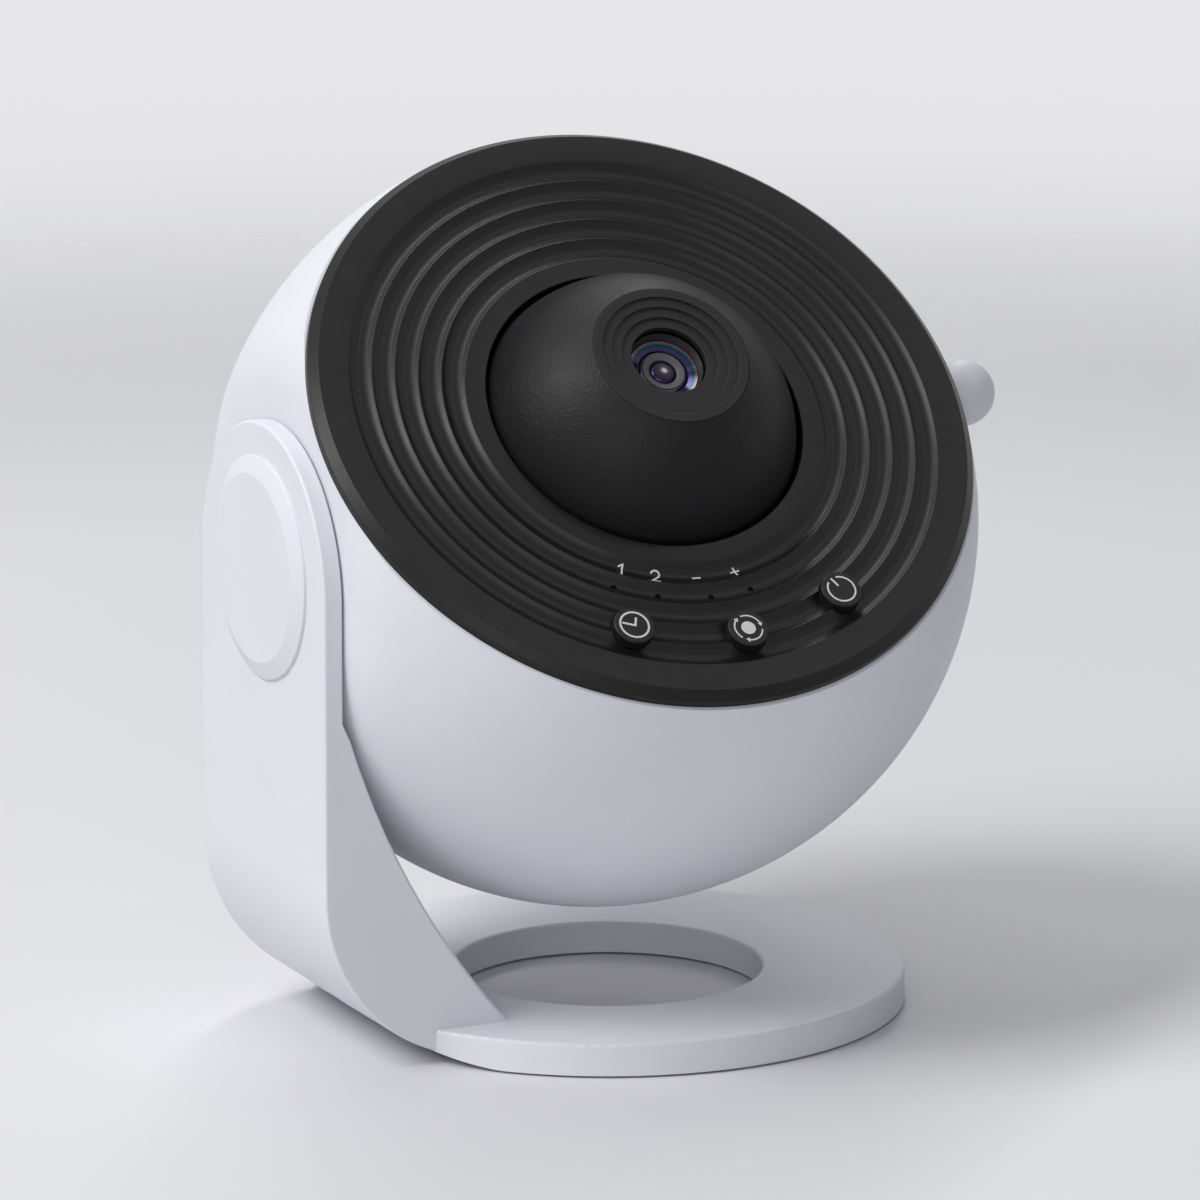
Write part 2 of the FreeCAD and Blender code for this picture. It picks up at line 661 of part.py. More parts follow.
def cut(body, name, plane, draw, lift, length):
    """Cut from the plane's lift to lift plus length along the plane's normal."""
    sketch = new_sketch(body, name, plane, lift)
    draw(sketch)
    feature = body.newObject("PartDesign::Pocket", name)
    feature.Profile = sketch
    feature.Reversed = True
    bind(feature, "Length", length)
    return feature


def turn(body, name, corners, plane="XZ_Plane", angle=360.0):
    """Solid turned about the body's Z from an outline of (radius, height)."""
    sketch = new_sketch(body, name, plane)
    draw_outline(sketch, corners)
    feature = body.newObject("PartDesign::Revolution", name)
    feature.Profile = sketch
    feature.ReferenceAxis = (sketch, ["V_Axis"])
    bind(feature, "Angle", angle)
    feature.Midplane = True
    return feature


def turn_away(body, name, corners, rise=0.0, axis="V_Axis"):
    """Groove about an axis of the sketch."""
    sketch = new_sketch(body, name, "XZ_Plane", rise=rise)
    draw_outline(sketch, corners)
    feature = body.newObject("PartDesign::Groove", name)
    feature.Profile = sketch
    feature.ReferenceAxis = (sketch, [axis])
    feature.Angle = 360.0
    return feature


def repeat_round(body, name, features, count):
    """Repeat features at equal angles about the body's Z."""
    pattern = body.newObject("PartDesign::PolarPattern", name)
    pattern.Originals = list(features)
    pattern.Axis = (origin_feature(body, "Z_Axis"), [""])
    pattern.Angle = 360.0
    bind(pattern, "Occurrences", count)
    body.Tip = pattern
    return pattern


def is_circle(edge):
    return not edge.Degenerated and isinstance(edge.Curve, Part.Circle)


def round_edges(body, name, radius, wanted):
    """Fillet the edges of the body's last feature that wanted(edge) picks."""
    document.recompute()
    base = body.Tip
    names = [f"Edge{number}" for number, edge in enumerate(base.Shape.Edges, 1)
             if wanted(edge)]
    fillet = body.newObject("PartDesign::Fillet", name)
    fillet.Base = (base, names)
    bind(fillet, "Radius", radius)
    return fillet


def turned_piece(name, frame, *corners):
    body = new_body(name, frame)
    turn(body, name + "_form", corners)
    return body


def tube_corners(inner, outer, low, high):
    return ((inner, low), (outer, low), (outer, high), (inner, high))


def rod(name, frame, radius, low, high):
    return turned_piece(name, frame, (0, low), (radius, low), (radius, high), (0, high))


def tube(name, frame, inner, outer, low, high):
    return turned_piece(name, frame, *tube_corners(inner, outer, low, high))


def screw_group(name, circle, start, count, seat, tip, frame=HEAD):
    """Equal screws round the frame's axis, heads beyond seat, shanks to tip."""
    outward = 1.0 if seat.value > tip.value else -1.0
    place = polar(circle, start)
    body = new_body(name, frame)
    low, high = (seat, tip) if seat.value < tip.value else (tip, seat)
    shank = pad(body, name + "_shank", "XY_Plane",
                circles((place, s.screw_radius)), low, high - low)
    head_low = seat if outward > 0 else seat - s.screw_head_height
    heads = pad(body, name + "_head", "XY_Plane",
                circles((place, s.screw_head_radius)), head_low, s.screw_head_height)
    repeat_round(body, name + "_ring", [shank, heads], count)
    return body


# --------------------------------------------------------------------------
# Stand
# --------------------------------------------------------------------------

ARM_OUTER = PIVOT_X - ARM_OFFSET
ARM_INNER = ARM_OUTER + s.arm_thickness
ARM_TOP_CENTRE = PIVOT_HEIGHT - s.arm_top_drop
WEB_END = -(s.hole_radius + s.web_margin)
PLUG_BORE = s.cap_plug_radius + s.screw_fit
SPIGOT_END = s.arm_thickness + s.spigot_length - ARM_OFFSET
BOLT_SEAT = SPIGOT_END - s.spigot_floor
FOOT_INNER = s.hole_radius + s.foot_inner_margin
FOOT_OUTER = s.ring_radius - s.foot_outer_margin


def make_stand():
    body = new_body("stand")
    pad(body, "base_ring", "XY_Plane", ring(s.ring_radius, s.hole_radius),
        s.foot_proud, s.ring_top - s.foot_proud)

    corner_x = ARM_OUTER + s.corner_radius
    corner_z = s.foot_proud + s.corner_radius
    web_foot = (WEB_END, s.ring_top)
    web_head = (ARM_INNER, PIVOT_HEIGHT - s.web_start_drop)
    bow = bow_centre(web_foot, web_head, s.web_radius)
    arm_top = ARM_TOP_CENTRE + s.arm_half_width
    pad(body, "arm", "XZ_Plane", outline(
        (ARM_OUTER, arm_top),
        (ARM_OUTER, corner_z),
        (corner_x, s.foot_proud, corner_x, corner_z, 1),
        (WEB_END, s.foot_proud),
        web_foot,
        web_head + bow + (-1,),
        (ARM_INNER, arm_top)), 0.0, 2.0 * s.arm_half_width, middle=True)

    margin = s.arm_thickness
    side = s.arm_half_width + margin
    cut(body, "arm_round_top", "YZ_Plane", outline(
        (-s.arm_half_width, ARM_TOP_CENTRE),
        (s.arm_half_width, ARM_TOP_CENTRE, 0.0, ARM_TOP_CENTRE, -1),
        (side, ARM_TOP_CENTRE),
        (side, arm_top + margin),
        (-side, arm_top + margin),
        (-side, ARM_TOP_CENTRE)), ARM_OUTER - margin, 3.0 * margin)

    dish = s.ball_radius + s.dish_gap
    dish_left = leg(dish, ARM_OFFSET - s.arm_thickness)
    turn_away(body, "ball_dish", (
        (ARM_INNER, 0),
        (PIVOT_X + dish, 0),
        (ARM_INNER, dish_left, PIVOT_X, 0, 1)), rise=PIVOT_HEIGHT, axis="H_Axis")

    def on_outline(edge):
        box = edge.BoundBox
        at_face = box.YLength < 0.01 and abs(abs(box.Center.y) - s.arm_half_width.value) < 0.01
        above_base = box.ZMax > s.ring_top.value + 1.0
        top_arc = box.XLength < 0.01 and box.ZMax > ARM_TOP_CENTRE.value + 1.0
        return (at_face and above_base) or top_arc

    round_edges(body, "arm_soft_edges", s.soft_edge, on_outline)

    def on_ring(edge):
        box = edge.BoundBox
        on_top = box.ZLength < 0.01 and abs(box.ZMax - s.ring_top.value) < 0.01
        wide = box.XLength + box.YLength > s.hole_radius.value
        return on_top and wide and is_circle(edge)

    round_edges(body, "ring_soft_edges", s.soft_edge, on_ring)
    pad(body, "spigot", "YZ_Plane", circles(((0, PIVOT_HEIGHT), s.spigot_radius)),
        ARM_INNER, s.spigot_length)
    cut(body, "cap_socket", "YZ_Plane", circles(((0, PIVOT_HEIGHT), PLUG_BORE)),
        ARM_OUTER, BOLT_SEAT + ARM_OFFSET)
    cut(body, "bolt_hole", "YZ_Plane",
        circles(((0, PIVOT_HEIGHT), s.bolt_radius + s.screw_fit)),
        ARM_OUTER, s.arm_thickness + s.spigot_length)
    cut(body, "foot_recess", "XY_Plane", ring(FOOT_OUTER, FOOT_INNER),
        s.foot_proud, s.foot_depth)


def make_base_foot_pad():
    tube("base_foot_pad", None, FOOT_INNER, FOOT_OUTER, 0, s.foot_proud + s.foot_depth)


def make_pivot_cap():
    frame = frame_text((ARM_OUTER, 0, ARM_TOP_CENTRE + s.cap_rise), ACROSS, -90.0)
    body = new_body("pivot_cap", frame)
    lip = s.soft_edge
    turn(body, "cap_form", (
        (0, 0), (s.cap_base_radius, 0), (s.cap_base_radius, lip),
        (s.cap_top_radius, s.cap_height), (0, s.cap_height)))
    to_pivot = s.arm_top_drop - s.cap_rise
    pad(body, "cap_plug", "XY_Plane", circles(
        ((to_pivot, 0), s.cap_plug_radius),
        ((to_pivot, 0), s.cap_plug_radius - s.cap_plug_wall)),
        -s.cap_plug_length, s.cap_plug_length)


BUSH_BORE = s.spigot_radius + s.running_fit
BUSH_OUTER = BUSH_BORE + s.bush_wall
BOSS_END = SPIGOT_END + s.clear_gap
FLAT_X = s.arm_thickness + s.flat_gap - ARM_OFFSET


def polygon(across_flats, sides):
    corner = across_flats / (2.0 * cosine(180.0 / sides))
    return tuple(polar(corner, number * 360.0 / sides) for number in range(sides))


def make_pivot_bolt():
    body = new_body("pivot_bolt", PIVOT)
    nut_end = BOSS_END + s.washer_thickness + s.spring_washer_thickness + s.nut_height
    head = BOLT_SEAT - s.bolt_head_height
    bolt_end = nut_end + s.bolt_end
    turn(body, "bolt_form", (
        (0, head), (s.bolt_head_radius, head), (s.bolt_head_radius, BOLT_SEAT),
        (s.bolt_radius, BOLT_SEAT), (s.bolt_radius, bolt_end), (0, bolt_end)))
    key = outline(*polygon(s.bolt_key_across, 6))
    cut(body, "bolt_socket", "XY_Plane", key, head, s.bolt_key_depth)


def make_pivot_stack():
    washer_top = BOSS_END + s.washer_thickness
    spring_top = washer_top + s.spring_washer_thickness
    bore = s.bolt_radius + s.screw_fit
    tube("friction_washer", PIVOT, bore, s.washer_radius, BOSS_END, washer_top)
    tube("spring_washer", PIVOT, bore, s.spring_washer_radius, washer_top, spring_top)
    body = new_body("pivot_nut", PIVOT)
    pad(body, "nut_form", "XY_Plane", outline(*polygon(s.nut_across_flats, 6)),
        spring_top, s.nut_height)
    cut(body, "nut_bore", "XY_Plane", circles(((0, 0), bore)), spring_top, s.nut_height)


# --------------------------------------------------------------------------
# Shell, rear cover and bushes
# --------------------------------------------------------------------------

def blunted_ball(body, name, radius, flat_x, blend):
    """A ball with one flat on the arm's side, blended into the ball."""
    turn(body, name + "_ball", ((0, -radius), (0, radius, 0, 0, 1)))
    margin = s.shell_wall
    cut(body, name + "_arm_flat", "YZ_Plane",
        outline(*rectangle(-radius, radius, -radius, radius)),
        -(radius + margin), radius + margin + flat_x)
    round_edges(body, name + "_flat_blend", blend,
                lambda edge: is_circle(edge)
                and abs(edge.BoundBox.XMax - flat_x.value) < 0.01)


def make_main_shell():
    cavity = document.addObject("PartDesign::Body", "shell_cavity")
    blunted_ball(cavity, "cavity", INNER_BALL, FLAT_X + s.shell_wall,
                 s.flat_blend - s.shell_wall)

    body = new_body("main_shell", HEAD)
    radius = s.ball_radius
    blunted_ball(body, "shell", radius, FLAT_X, s.flat_blend)
    margin = s.shell_wall
    hollow = body.newObject("PartDesign::Boolean", "shell_hollow")
    hollow.Type = "Cut"
    hollow.setObjects([cavity])
    whole = rectangle(-radius, radius, -radius, radius)
    cut(body, "mouth", "XY_Plane", outline(*whole), s.mouth_height, radius)
    cut(body, "rear_opening", "XY_Plane", outline(*whole), -(radius + margin),
        radius + margin + COVER_SEAM)

    boss_outer = BUSH_OUTER + s.shell_wall
    pad(body, "pivot_boss", "YZ_Plane", circles(((0, 0), boss_outer)),
        FLAT_X + s.shell_wall / 2.0, BOSS_END - FLAT_X - s.shell_wall / 2.0)
    cut(body, "pivot_bore", "YZ_Plane", circles(((0, 0), BUSH_OUTER)),
        FLAT_X - margin, BOSS_END - FLAT_X + margin)

    knob_axis = (SHAFT_RISE, SHAFT_LEVEL)
    pad(body, "knob_boss", "YZ_Plane",
        circles((knob_axis, s.knob_bush_radius + s.shell_wall)),
        KNOB_BUSH_INNER, INNER_BALL - KNOB_BUSH_INNER)
    cut(body, "knob_bore", "YZ_Plane", circles((knob_axis, s.knob_bush_radius)),
        KNOB_BUSH_INNER - margin, radius - KNOB_BUSH_INNER + margin)

    beside_boss = leg(INNER_BALL, DECK_BOTTOM - s.boss_length / 2.0)
    front = [
        pad(body, "front_boss", "XY_Plane",
            outline(*tongue(BOSS_CIRCLE, beside_boss, s.boss_radius, s.boss_angle)),
            DECK_BOTTOM - s.boss_length, s.boss_length),
        cut(body, "front_boss_hole", "XY_Plane",
            circles((polar(BOSS_CIRCLE, s.boss_angle), SCREW_HOLE)),
            DECK_BOTTOM - s.boss_length, s.boss_length)]
    repeat_round(body, "front_bosses", front, s.boss_count)
    rear = [
        pad(body, "rear_boss", "XY_Plane",
            outline(*tongue(COVER_BOSS_CIRCLE, COVER_RADIUS + s.shell_wall / 2.0,
                            s.boss_radius, s.boss_angle)),
            COVER_BOSS_BOTTOM, s.cover_boss_length),
        cut(body, "rear_boss_hole", "XY_Plane",
            circles((polar(COVER_BOSS_CIRCLE, s.boss_angle), SCREW_HOLE)),
            COVER_BOSS_BOTTOM, s.cover_boss_length)]
    repeat_round(body, "rear_bosses", rear, s.boss_count)


USB_FACE = -leg(s.ball_radius, s.usb_drop + s.usb_height / 2.0) + s.usb_sink
USB_BOARD_TOP = -s.usb_drop - s.usb_height / 2.0
USB_BOARD_HALF = s.power_board_width / 2.0


def make_rear_cover():
    body = new_body("rear_cover", HEAD)
    outer = s.ball_radius
    lip_outer = COVER_INNER - s.clear_gap
    lip_inner = lip_outer - s.shell_wall
    lip_foot = -leg(INNER_BALL, lip_inner)
    turn(body, "cover_form", (
        (0, -outer),
        (COVER_RADIUS, COVER_SEAM, 0, 0, 1),
        (lip_outer, COVER_SEAM),
        (lip_outer, COVER_SEAM + s.cover_lip),
        (lip_inner, COVER_SEAM + s.cover_lip),
        (lip_inner, lip_foot),
        (0, -INNER_BALL, 0, 0, -1)))
    place = polar(COVER_BOSS_CIRCLE, s.boss_angle)
    post = pad(body, "cover_post", "XY_Plane",
               circles((place, s.boss_radius)),
               -outer, outer + COVER_SEAM + s.cover_lip)
    repeat_round(body, "cover_posts", [post], s.boss_count)
    board_post = pad(body, "board_post", "XY_Plane",
                     circles((polar(BOARD_POST_CIRCLE, s.boss_angle),
                              s.board_post_radius)),
                     -outer, outer + BOARD_BOTTOM)
    board_hole = cut(body, "board_post_hole", "XY_Plane",
                     circles((polar(BOARD_POST_CIRCLE, s.boss_angle), SCREW_HOLE)),
                     BOARD_BOTTOM - s.board_screw_bite, s.board_screw_bite)
    repeat_round(body, "board_posts", [board_post, board_hole], s.boss_count)
    rail_low = USB_BOARD_TOP - s.board_thickness - s.shell_wall
    rail_high = USB_BOARD_TOP - s.board_thickness
    pad(body, "board_rails", "XY_Plane", outlines(
        rectangle(-USB_BOARD_HALF, s.rail_width - USB_BOARD_HALF, rail_low, rail_high),
        rectangle(USB_BOARD_HALF - s.rail_width, USB_BOARD_HALF, rail_low, rail_high)),
        -outer, outer + USB_FACE + s.rail_length)
    far = outer + s.shell_wall
    turn_away(body, "cover_trim", (
        (0, -far),
        (far, -far),
        (far, COVER_SEAM),
        (COVER_RADIUS, COVER_SEAM),
        (0, -outer, 0, 0, -1)))
    head_holes = [
        cut(body, "cover_head_hole", "XY_Plane",
            circles((place, s.screw_head_radius + s.clear_gap)),
            -far, far + COVER_HEAD_SEAT),
        cut(body, "cover_screw_hole", "XY_Plane", circles((place, SCREW_HOLE)),
            COVER_HEAD_SEAT, s.cover_lip + COVER_SEAM - COVER_HEAD_SEAT)]
    repeat_round(body, "cover_screw_holes", head_holes, s.boss_count)
    slot = cut(body, "air_slot", "XY_Plane",
               outline(*rectangle(VENT_INNER, VENT_OUTER,
                                  -s.vent_width / 2.0, s.vent_width / 2.0)),
               -far, far - leg(INNER_BALL, VENT_OUTER) + s.shell_wall)
    repeat_round(body, "air_slots", [slot], s.vent_count)
    half = (s.usb_width - s.usb_height) / 2.0
    cut(body, "usb_hole", "XY_Plane",
        outline(*stadium(half, s.usb_height / 2.0 + s.clear_gap, -s.usb_drop)),
        -far, far - leg(INNER_BALL, s.usb_drop) + s.shell_wall)


def make_bushes():
    tube("pivot_bush", PIVOT, BUSH_BORE, BUSH_OUTER, FLAT_X, BOSS_END)
    tube("knob_bush", FOCUS, s.shaft_radius + s.running_fit, s.knob_bush_radius,
         KNOB_BUSH_INNER, KNOB_BUSH_OUTER)


# --------------------------------------------------------------------------
# Front panel, its buttons and lights
# --------------------------------------------------------------------------

PLATE_BOTTOM = PANEL_FACE - s.panel_plate
BUTTON_BOARD_TOP = PLATE_BOTTOM - s.button_board_depth
BUTTON_ANGLES = {"timer_button": s.timer_angle,
                 "rotation_button": s.rotation_angle,
                 "power_button": s.power_angle}
LIGHT_ANGLES = (s.light_one_angle, s.light_two_angle,
                s.light_three_angle, s.light_four_angle)


def panel_profile():
    locating_outer = MOUTH_INNER - s.clear_gap
    locating_bottom = s.mouth_height - s.spigot_drop
    bow_radius = cap_sphere(GROOVE_PITCH / 2.0, s.groove_depth)
    bow_height = PANEL_FACE + bow_radius - s.groove_depth
    grooves = []
    for number in range(int(s.groove_count.value)):
        left = s.groove_start + GROOVE_PITCH * float(number)
        grooves.append((left + GROOVE_PITCH, PANEL_FACE,
                        left + GROOVE_PITCH / 2.0, bow_height, 1))
    return (
        (DOME_HOLE, PLATE_BOTTOM),
        (locating_outer - s.spigot_wall, PLATE_BOTTOM),
        (locating_outer - s.spigot_wall, locating_bottom),
        (locating_outer, locating_bottom),
        (locating_outer, s.mouth_height),
        (PANEL_RADIUS, s.mouth_height),
        (PANEL_RADIUS, PANEL_FACE - s.panel_chamfer),
        (PANEL_RADIUS - s.panel_chamfer, PANEL_FACE),
        *reversed_outline((s.groove_start, PANEL_FACE), grooves),
        (DOME_HOLE, PANEL_FACE))


def reversed_outline(start, corners):
    """The same stretch of outline drawn from its far end back to start."""
    points = [start] + [corner[:2] for corner in corners]
    back = [points[-1]]
    for number in range(len(corners) - 1, -1, -1):
        corner = corners[number]
        back.append(points[number] + corner[2:4] + (-corner[4],))
    return back


def make_front_panel():
    body = new_body("front_panel", HEAD)
    turn(body, "panel_form", panel_profile())
    inner_flat = FLAT_X + s.shell_wall + s.clear_gap
    cut(body, "locating_flat", "YZ_Plane",
        outline(*rectangle(-s.arm_half_width, s.arm_half_width,
                           s.mouth_height - 2.0 * s.spigot_drop, s.mouth_height)),
        -s.ball_radius, s.ball_radius + inner_flat)
    post_place = polar(BOSS_CIRCLE, s.boss_angle)
    posts = [
        pad(body, "panel_post", "XY_Plane", circles((post_place, s.boss_radius)),
            s.deck_top, PLATE_BOTTOM - s.deck_top + s.panel_plate / 2.0),
        cut(body, "panel_post_hole", "XY_Plane", circles((post_place, SCREW_HOLE)),
            s.deck_top, s.screw_bite + s.screw_head_height)]
    repeat_round(body, "panel_posts", posts, s.boss_count)
    pins = [(polar(BOARD_PIN_CIRCLE, angle), s.board_pin_radius)
            for angle in (s.pin_one_angle, s.pin_two_angle)]
    pad(body, "board_pins", "XY_Plane", circles(*pins), BUTTON_BOARD_TOP,
        s.button_board_depth + s.panel_plate / 4.0)
    bore = s.button_radius + s.sliding_fit
    holes = [(polar(BUTTON_CIRCLE, angle), bore) for angle in BUTTON_ANGLES.values()]
    cut(body, "button_holes", "XY_Plane", circles(*holes), PLATE_BOTTOM, s.panel_plate)
    lights = [(polar(LIGHT_CIRCLE, angle), s.light_radius + s.screw_fit)
              for angle in LIGHT_ANGLES]
    cut(body, "light_holes", "XY_Plane", circles(*lights), PLATE_BOTTOM, s.panel_plate)


BUTTON_FLANGE_TOP = PLATE_BOTTOM - s.clear_gap
BUTTON_BOTTOM = BUTTON_FLANGE_TOP - s.button_flange_thickness


def make_buttons():
    top = PANEL_FACE + s.button_proud
    edge = s.button_chamfer
    wide = s.button_radius + s.button_flange
    for name, angle in BUTTON_ANGLES.items():
        across, up = polar(BUTTON_CIRCLE, angle)
        turned_piece(
            name, frame_text((across, up, 0), parent=HEAD),
            (0, BUTTON_BOTTOM), (wide, BUTTON_BOTTOM), (wide, BUTTON_FLANGE_TOP),
            (s.button_radius, BUTTON_FLANGE_TOP), (s.button_radius, top - edge),
            (s.button_radius - edge, top), (0, top))


def make_button_electronics():
    body = new_body("button_board", HEAD)
    pad(body, "board_form", "XY_Plane",
        outline(*sector_outline(BUTTON_CIRCLE - s.button_board_inside,
                                BUTTON_CIRCLE + s.button_board_outside,
                                s.button_board_start,
                                s.button_board_start + s.button_board_sweep)),
        BUTTON_BOARD_TOP - s.board_thickness, s.board_thickness)

    body = new_body("button_switches", HEAD)
    half = s.switch_side / 2.0
    places = [polar(BUTTON_CIRCLE, angle) for angle in BUTTON_ANGLES.values()]
    cases = [rectangle(across - half, across + half, up - half, up + half)
             for across, up in places]
    pad(body, "switch_cases", "XY_Plane", outlines(*cases),
        BUTTON_BOARD_TOP, s.switch_height)
    stem_top = BUTTON_BOTTOM - s.button_travel - s.switch_free
    case_top = BUTTON_BOARD_TOP + s.switch_height
    pad(body, "switch_stems", "XY_Plane",
        circles(*[(place, s.switch_stem_radius) for place in places]),
        case_top, stem_top - case_top)

    body = new_body("indicator_lights", HEAD)
    lights = [(polar(LIGHT_CIRCLE, angle), s.light_radius) for angle in LIGHT_ANGLES]
    pad(body, "light_pipes", "XY_Plane", circles(*lights), BUTTON_BOARD_TOP,
        PANEL_FACE - s.light_sink - s.groove_depth - BUTTON_BOARD_TOP)


# --------------------------------------------------------------------------
# Dome and lens
# --------------------------------------------------------------------------

def make_dome_cover():
    body = new_body("dome_cover", HEAD)
    skirt_top = DOME_CENTRE + leg(s.dome_radius, SKIRT_OUTER)
    ledge_outer = leg(DOME_INNER, LEDGE_BOTTOM - DOME_CENTRE)
    shelf = SKIRT_INNER - s.flange_ledge
    shelf_top = DOME_CENTRE + leg(DOME_INNER, shelf)
    turn(body, "dome_form", (
        (SKIRT_INNER, DOME_BOTTOM),
        (SKIRT_OUTER, DOME_BOTTOM),
        (SKIRT_OUTER, skirt_top),
        (NOSE_BORE, NOSE_RIM, 0, DOME_CENTRE, 1),
        (NOSE_BORE, NOSE_SEAT),
        (LEDGE_RADIUS, NOSE_SEAT),
        (LEDGE_RADIUS, LEDGE_BOTTOM),
        (ledge_outer, LEDGE_BOTTOM),
        (shelf, shelf_top, 0, DOME_CENTRE, -1),
        (shelf, FLANGE_TOP),
        (SKIRT_INNER, FLANGE_TOP)))
    lug = pad(body, "bayonet_lug", "XY_Plane",
              outline(*rectangle(SKIRT_INNER - s.lug_depth,
                                 SKIRT_INNER + s.dome_wall / 2.0,
                                 -s.lug_width / 2.0, s.lug_width / 2.0)),
              LUG_BOTTOM, s.lug_height)
    repeat_round(body, "bayonet_lugs", [lug], s.lug_count)


def make_nose_ring():
    face = NOSE_FACE
    step = s.nose_step_height
    turned_piece(
        "nose_ring", HEAD,
        (s.nose_opening, NOSE_SEAT), (s.nose_radius, NOSE_SEAT), (s.nose_radius, face),
        (s.nose_step_one, face), (s.nose_step_one, face - step),
        (s.nose_step_two, face - step), (s.nose_step_two, face - 2.0 * step),
        (s.nose_step_three, face - 2.0 * step), (s.nose_step_three, face - 3.0 * step),
        (s.nose_opening, face - 3.0 * step))


def make_lens_mount():
    body = new_body("lens_mount", HEAD)
    turn(body, "mount_form", (
        (MOUNT_FLANGE_INNER, s.deck_top), (MOUNT_OUTER, s.deck_top),
        (MOUNT_OUTER, MOUNT_TOP), (MOUNT_INNER, MOUNT_TOP),
        (MOUNT_INNER, s.deck_top + s.mount_flange),
        (MOUNT_FLANGE_INNER, s.deck_top + s.mount_flange)))
    track_floor = SKIRT_INNER - s.lug_depth - s.clear_gap
    track_low = LUG_BOTTOM - s.clear_gap
    half_angle = arc_angle(s.lug_width / 2.0 + 2.0 * s.clear_gap, track_floor)
    track = cut(body, "bayonet_track", "XY_Plane",
                outline(*sector_outline(track_floor, SKIRT_OUTER, -half_angle,
                                        s.twist_angle + half_angle)),
                track_low, s.lug_height + 2.0 * s.clear_gap)
    entry = cut(body, "bayonet_entry", "XY_Plane",
                outline(*sector_outline(track_floor, SKIRT_OUTER,
                                        s.twist_angle - half_angle,
                                        s.twist_angle + half_angle)),
                track_low, MOUNT_TOP - track_low)
    repeat_round(body, "bayonet_tracks", [track, entry], s.lug_count)
    hole = cut(body, "mount_screw_hole", "XY_Plane",
               circles((polar(MOUNT_SCREW_CIRCLE, 0.0), SCREW_HOLE)),
               s.deck_top, s.mount_flange)
    repeat_round(body, "mount_screw_holes", [hole], s.mount_screw_count)


def make_lens_sleeve():
    body = new_body("lens_sleeve", HEAD)
    bottom = s.deck_top + s.sleeve_air
    top = FLANGE_TOP + s.sleeve_nose
    flange_outer = SKIRT_INNER - s.screw_fit
    turn(body, "sleeve_form", (
        (SLEEVE_BORE, bottom), (SLEEVE_OUTER, bottom),
        (SLEEVE_OUTER, FLANGE_BOTTOM), (flange_outer, FLANGE_BOTTOM),
        (flange_outer, FLANGE_TOP), (SLEEVE_OUTER, FLANGE_TOP),
        (SLEEVE_OUTER, top), (SLEEVE_BORE, top)))
    half = s.key_width / 2.0 + s.clear_gap
    reach = s.key_length / 2.0 + s.focus_travel + s.clear_gap
    cut(body, "key_slot", "XY_Plane",
        outline(*rectangle(-half, half, -(SLEEVE_OUTER + s.clear_gap), -s.barrel_bore)),
        FLANGE_TOP - reach, 2.0 * reach)


def rack_profile():
    """Rack teeth as (radius, height), middle space level with the focus shaft."""
    tip = RACK_PITCH_LINE + s.rack_module * s.rack_addendum
    foot = RACK_PITCH_LINE - s.rack_module * s.rack_dedendum
    slope = sine(s.pressure_angle) / cosine(s.pressure_angle)
    pitch = s.rack_module * math.pi
    half_tooth = pitch / 4.0 - s.tooth_play / 2.0
    half_tip = half_tooth - s.rack_module * s.rack_addendum * slope
    half_foot = half_tooth + s.rack_module * s.rack_dedendum * slope
    count = int(s.rack_teeth.value)
    start = SHAFT_LEVEL - pitch * (s.rack_teeth / 2.0)
    end = SHAFT_LEVEL + pitch * (s.rack_teeth / 2.0)
    inside = s.barrel_radius - s.root_bite
    corners = [(inside, start), (foot, start)]
    for number in range(count):
        middle = start + pitch * (number + 0.5)
        corners += [(foot, middle - half_foot), (tip, middle - half_tip),
                    (tip, middle + half_tip), (foot, middle + half_foot)]
    corners += [(foot, end), (inside, end)]
    return corners


def make_lens_barrel():
    body = new_body("lens_barrel", HEAD)
    turn(body, "barrel_form", (
        (s.barrel_bore, s.barrel_bottom), (s.barrel_radius, s.barrel_bottom),
        (s.barrel_radius, BARREL_TOP), (s.barrel_bore, BARREL_TOP),
        (s.barrel_bore, FRONT_LENS_SEAT), (LENS_LEDGE, FRONT_LENS_SEAT),
        (LENS_LEDGE, REAR_LENS_SEAT), (s.barrel_bore, REAR_LENS_SEAT)))
    turn(body, "focus_rack", rack_profile(), plane="YZ_Plane", angle=s.rack_angle)
    half = s.key_width / 2.0
    pad(body, "barrel_key", "XY_Plane",
        outline(*rectangle(-half, half, -(s.barrel_radius + s.key_height),
                           -(s.barrel_bore + s.root_bite))),
        FLANGE_TOP - s.key_length / 2.0, s.key_length)


def make_lenses():
    seat = FRONT_LENS_SEAT
    edge_top = seat + s.front_lens_edge
    crown_radius = LENS_RADIUS - s.lens_ring_width
    ball = cap_sphere(crown_radius, s.lens_ring_height + s.front_lens_crown)
    top = BARREL_TOP + s.front_lens_crown
    turned_piece(
        "front_lens", HEAD,
        (0, seat), (LENS_RADIUS, seat), (LENS_RADIUS, edge_top),
        (crown_radius, edge_top), (0, top, 0, top - ball, 1))
    tube("front_lens_ring", HEAD, crown_radius + s.screw_fit, LENS_RADIUS,
         edge_top, BARREL_TOP)
    radius = LENS_RADIUS
    low = s.rear_lens_middle - s.rear_lens_edge / 2.0
    high = REAR_LENS_SEAT
    rear_ball = cap_sphere(LENS_LEDGE, s.rear_lens_crown)
    top = high + s.rear_lens_crown
    turned_piece(
        "rear_lens", HEAD,
        (0, low), (radius, low), (radius, high), (LENS_LEDGE, high),
        (0, top, 0, top - rear_ball, 1))
    tube("rear_lens_ring", HEAD, radius - s.lens_ring_width, radius,
         low - s.lens_ring_height, low)


# --------------------------------------------------------------------------
# Toothed wheels
# --------------------------------------------------------------------------


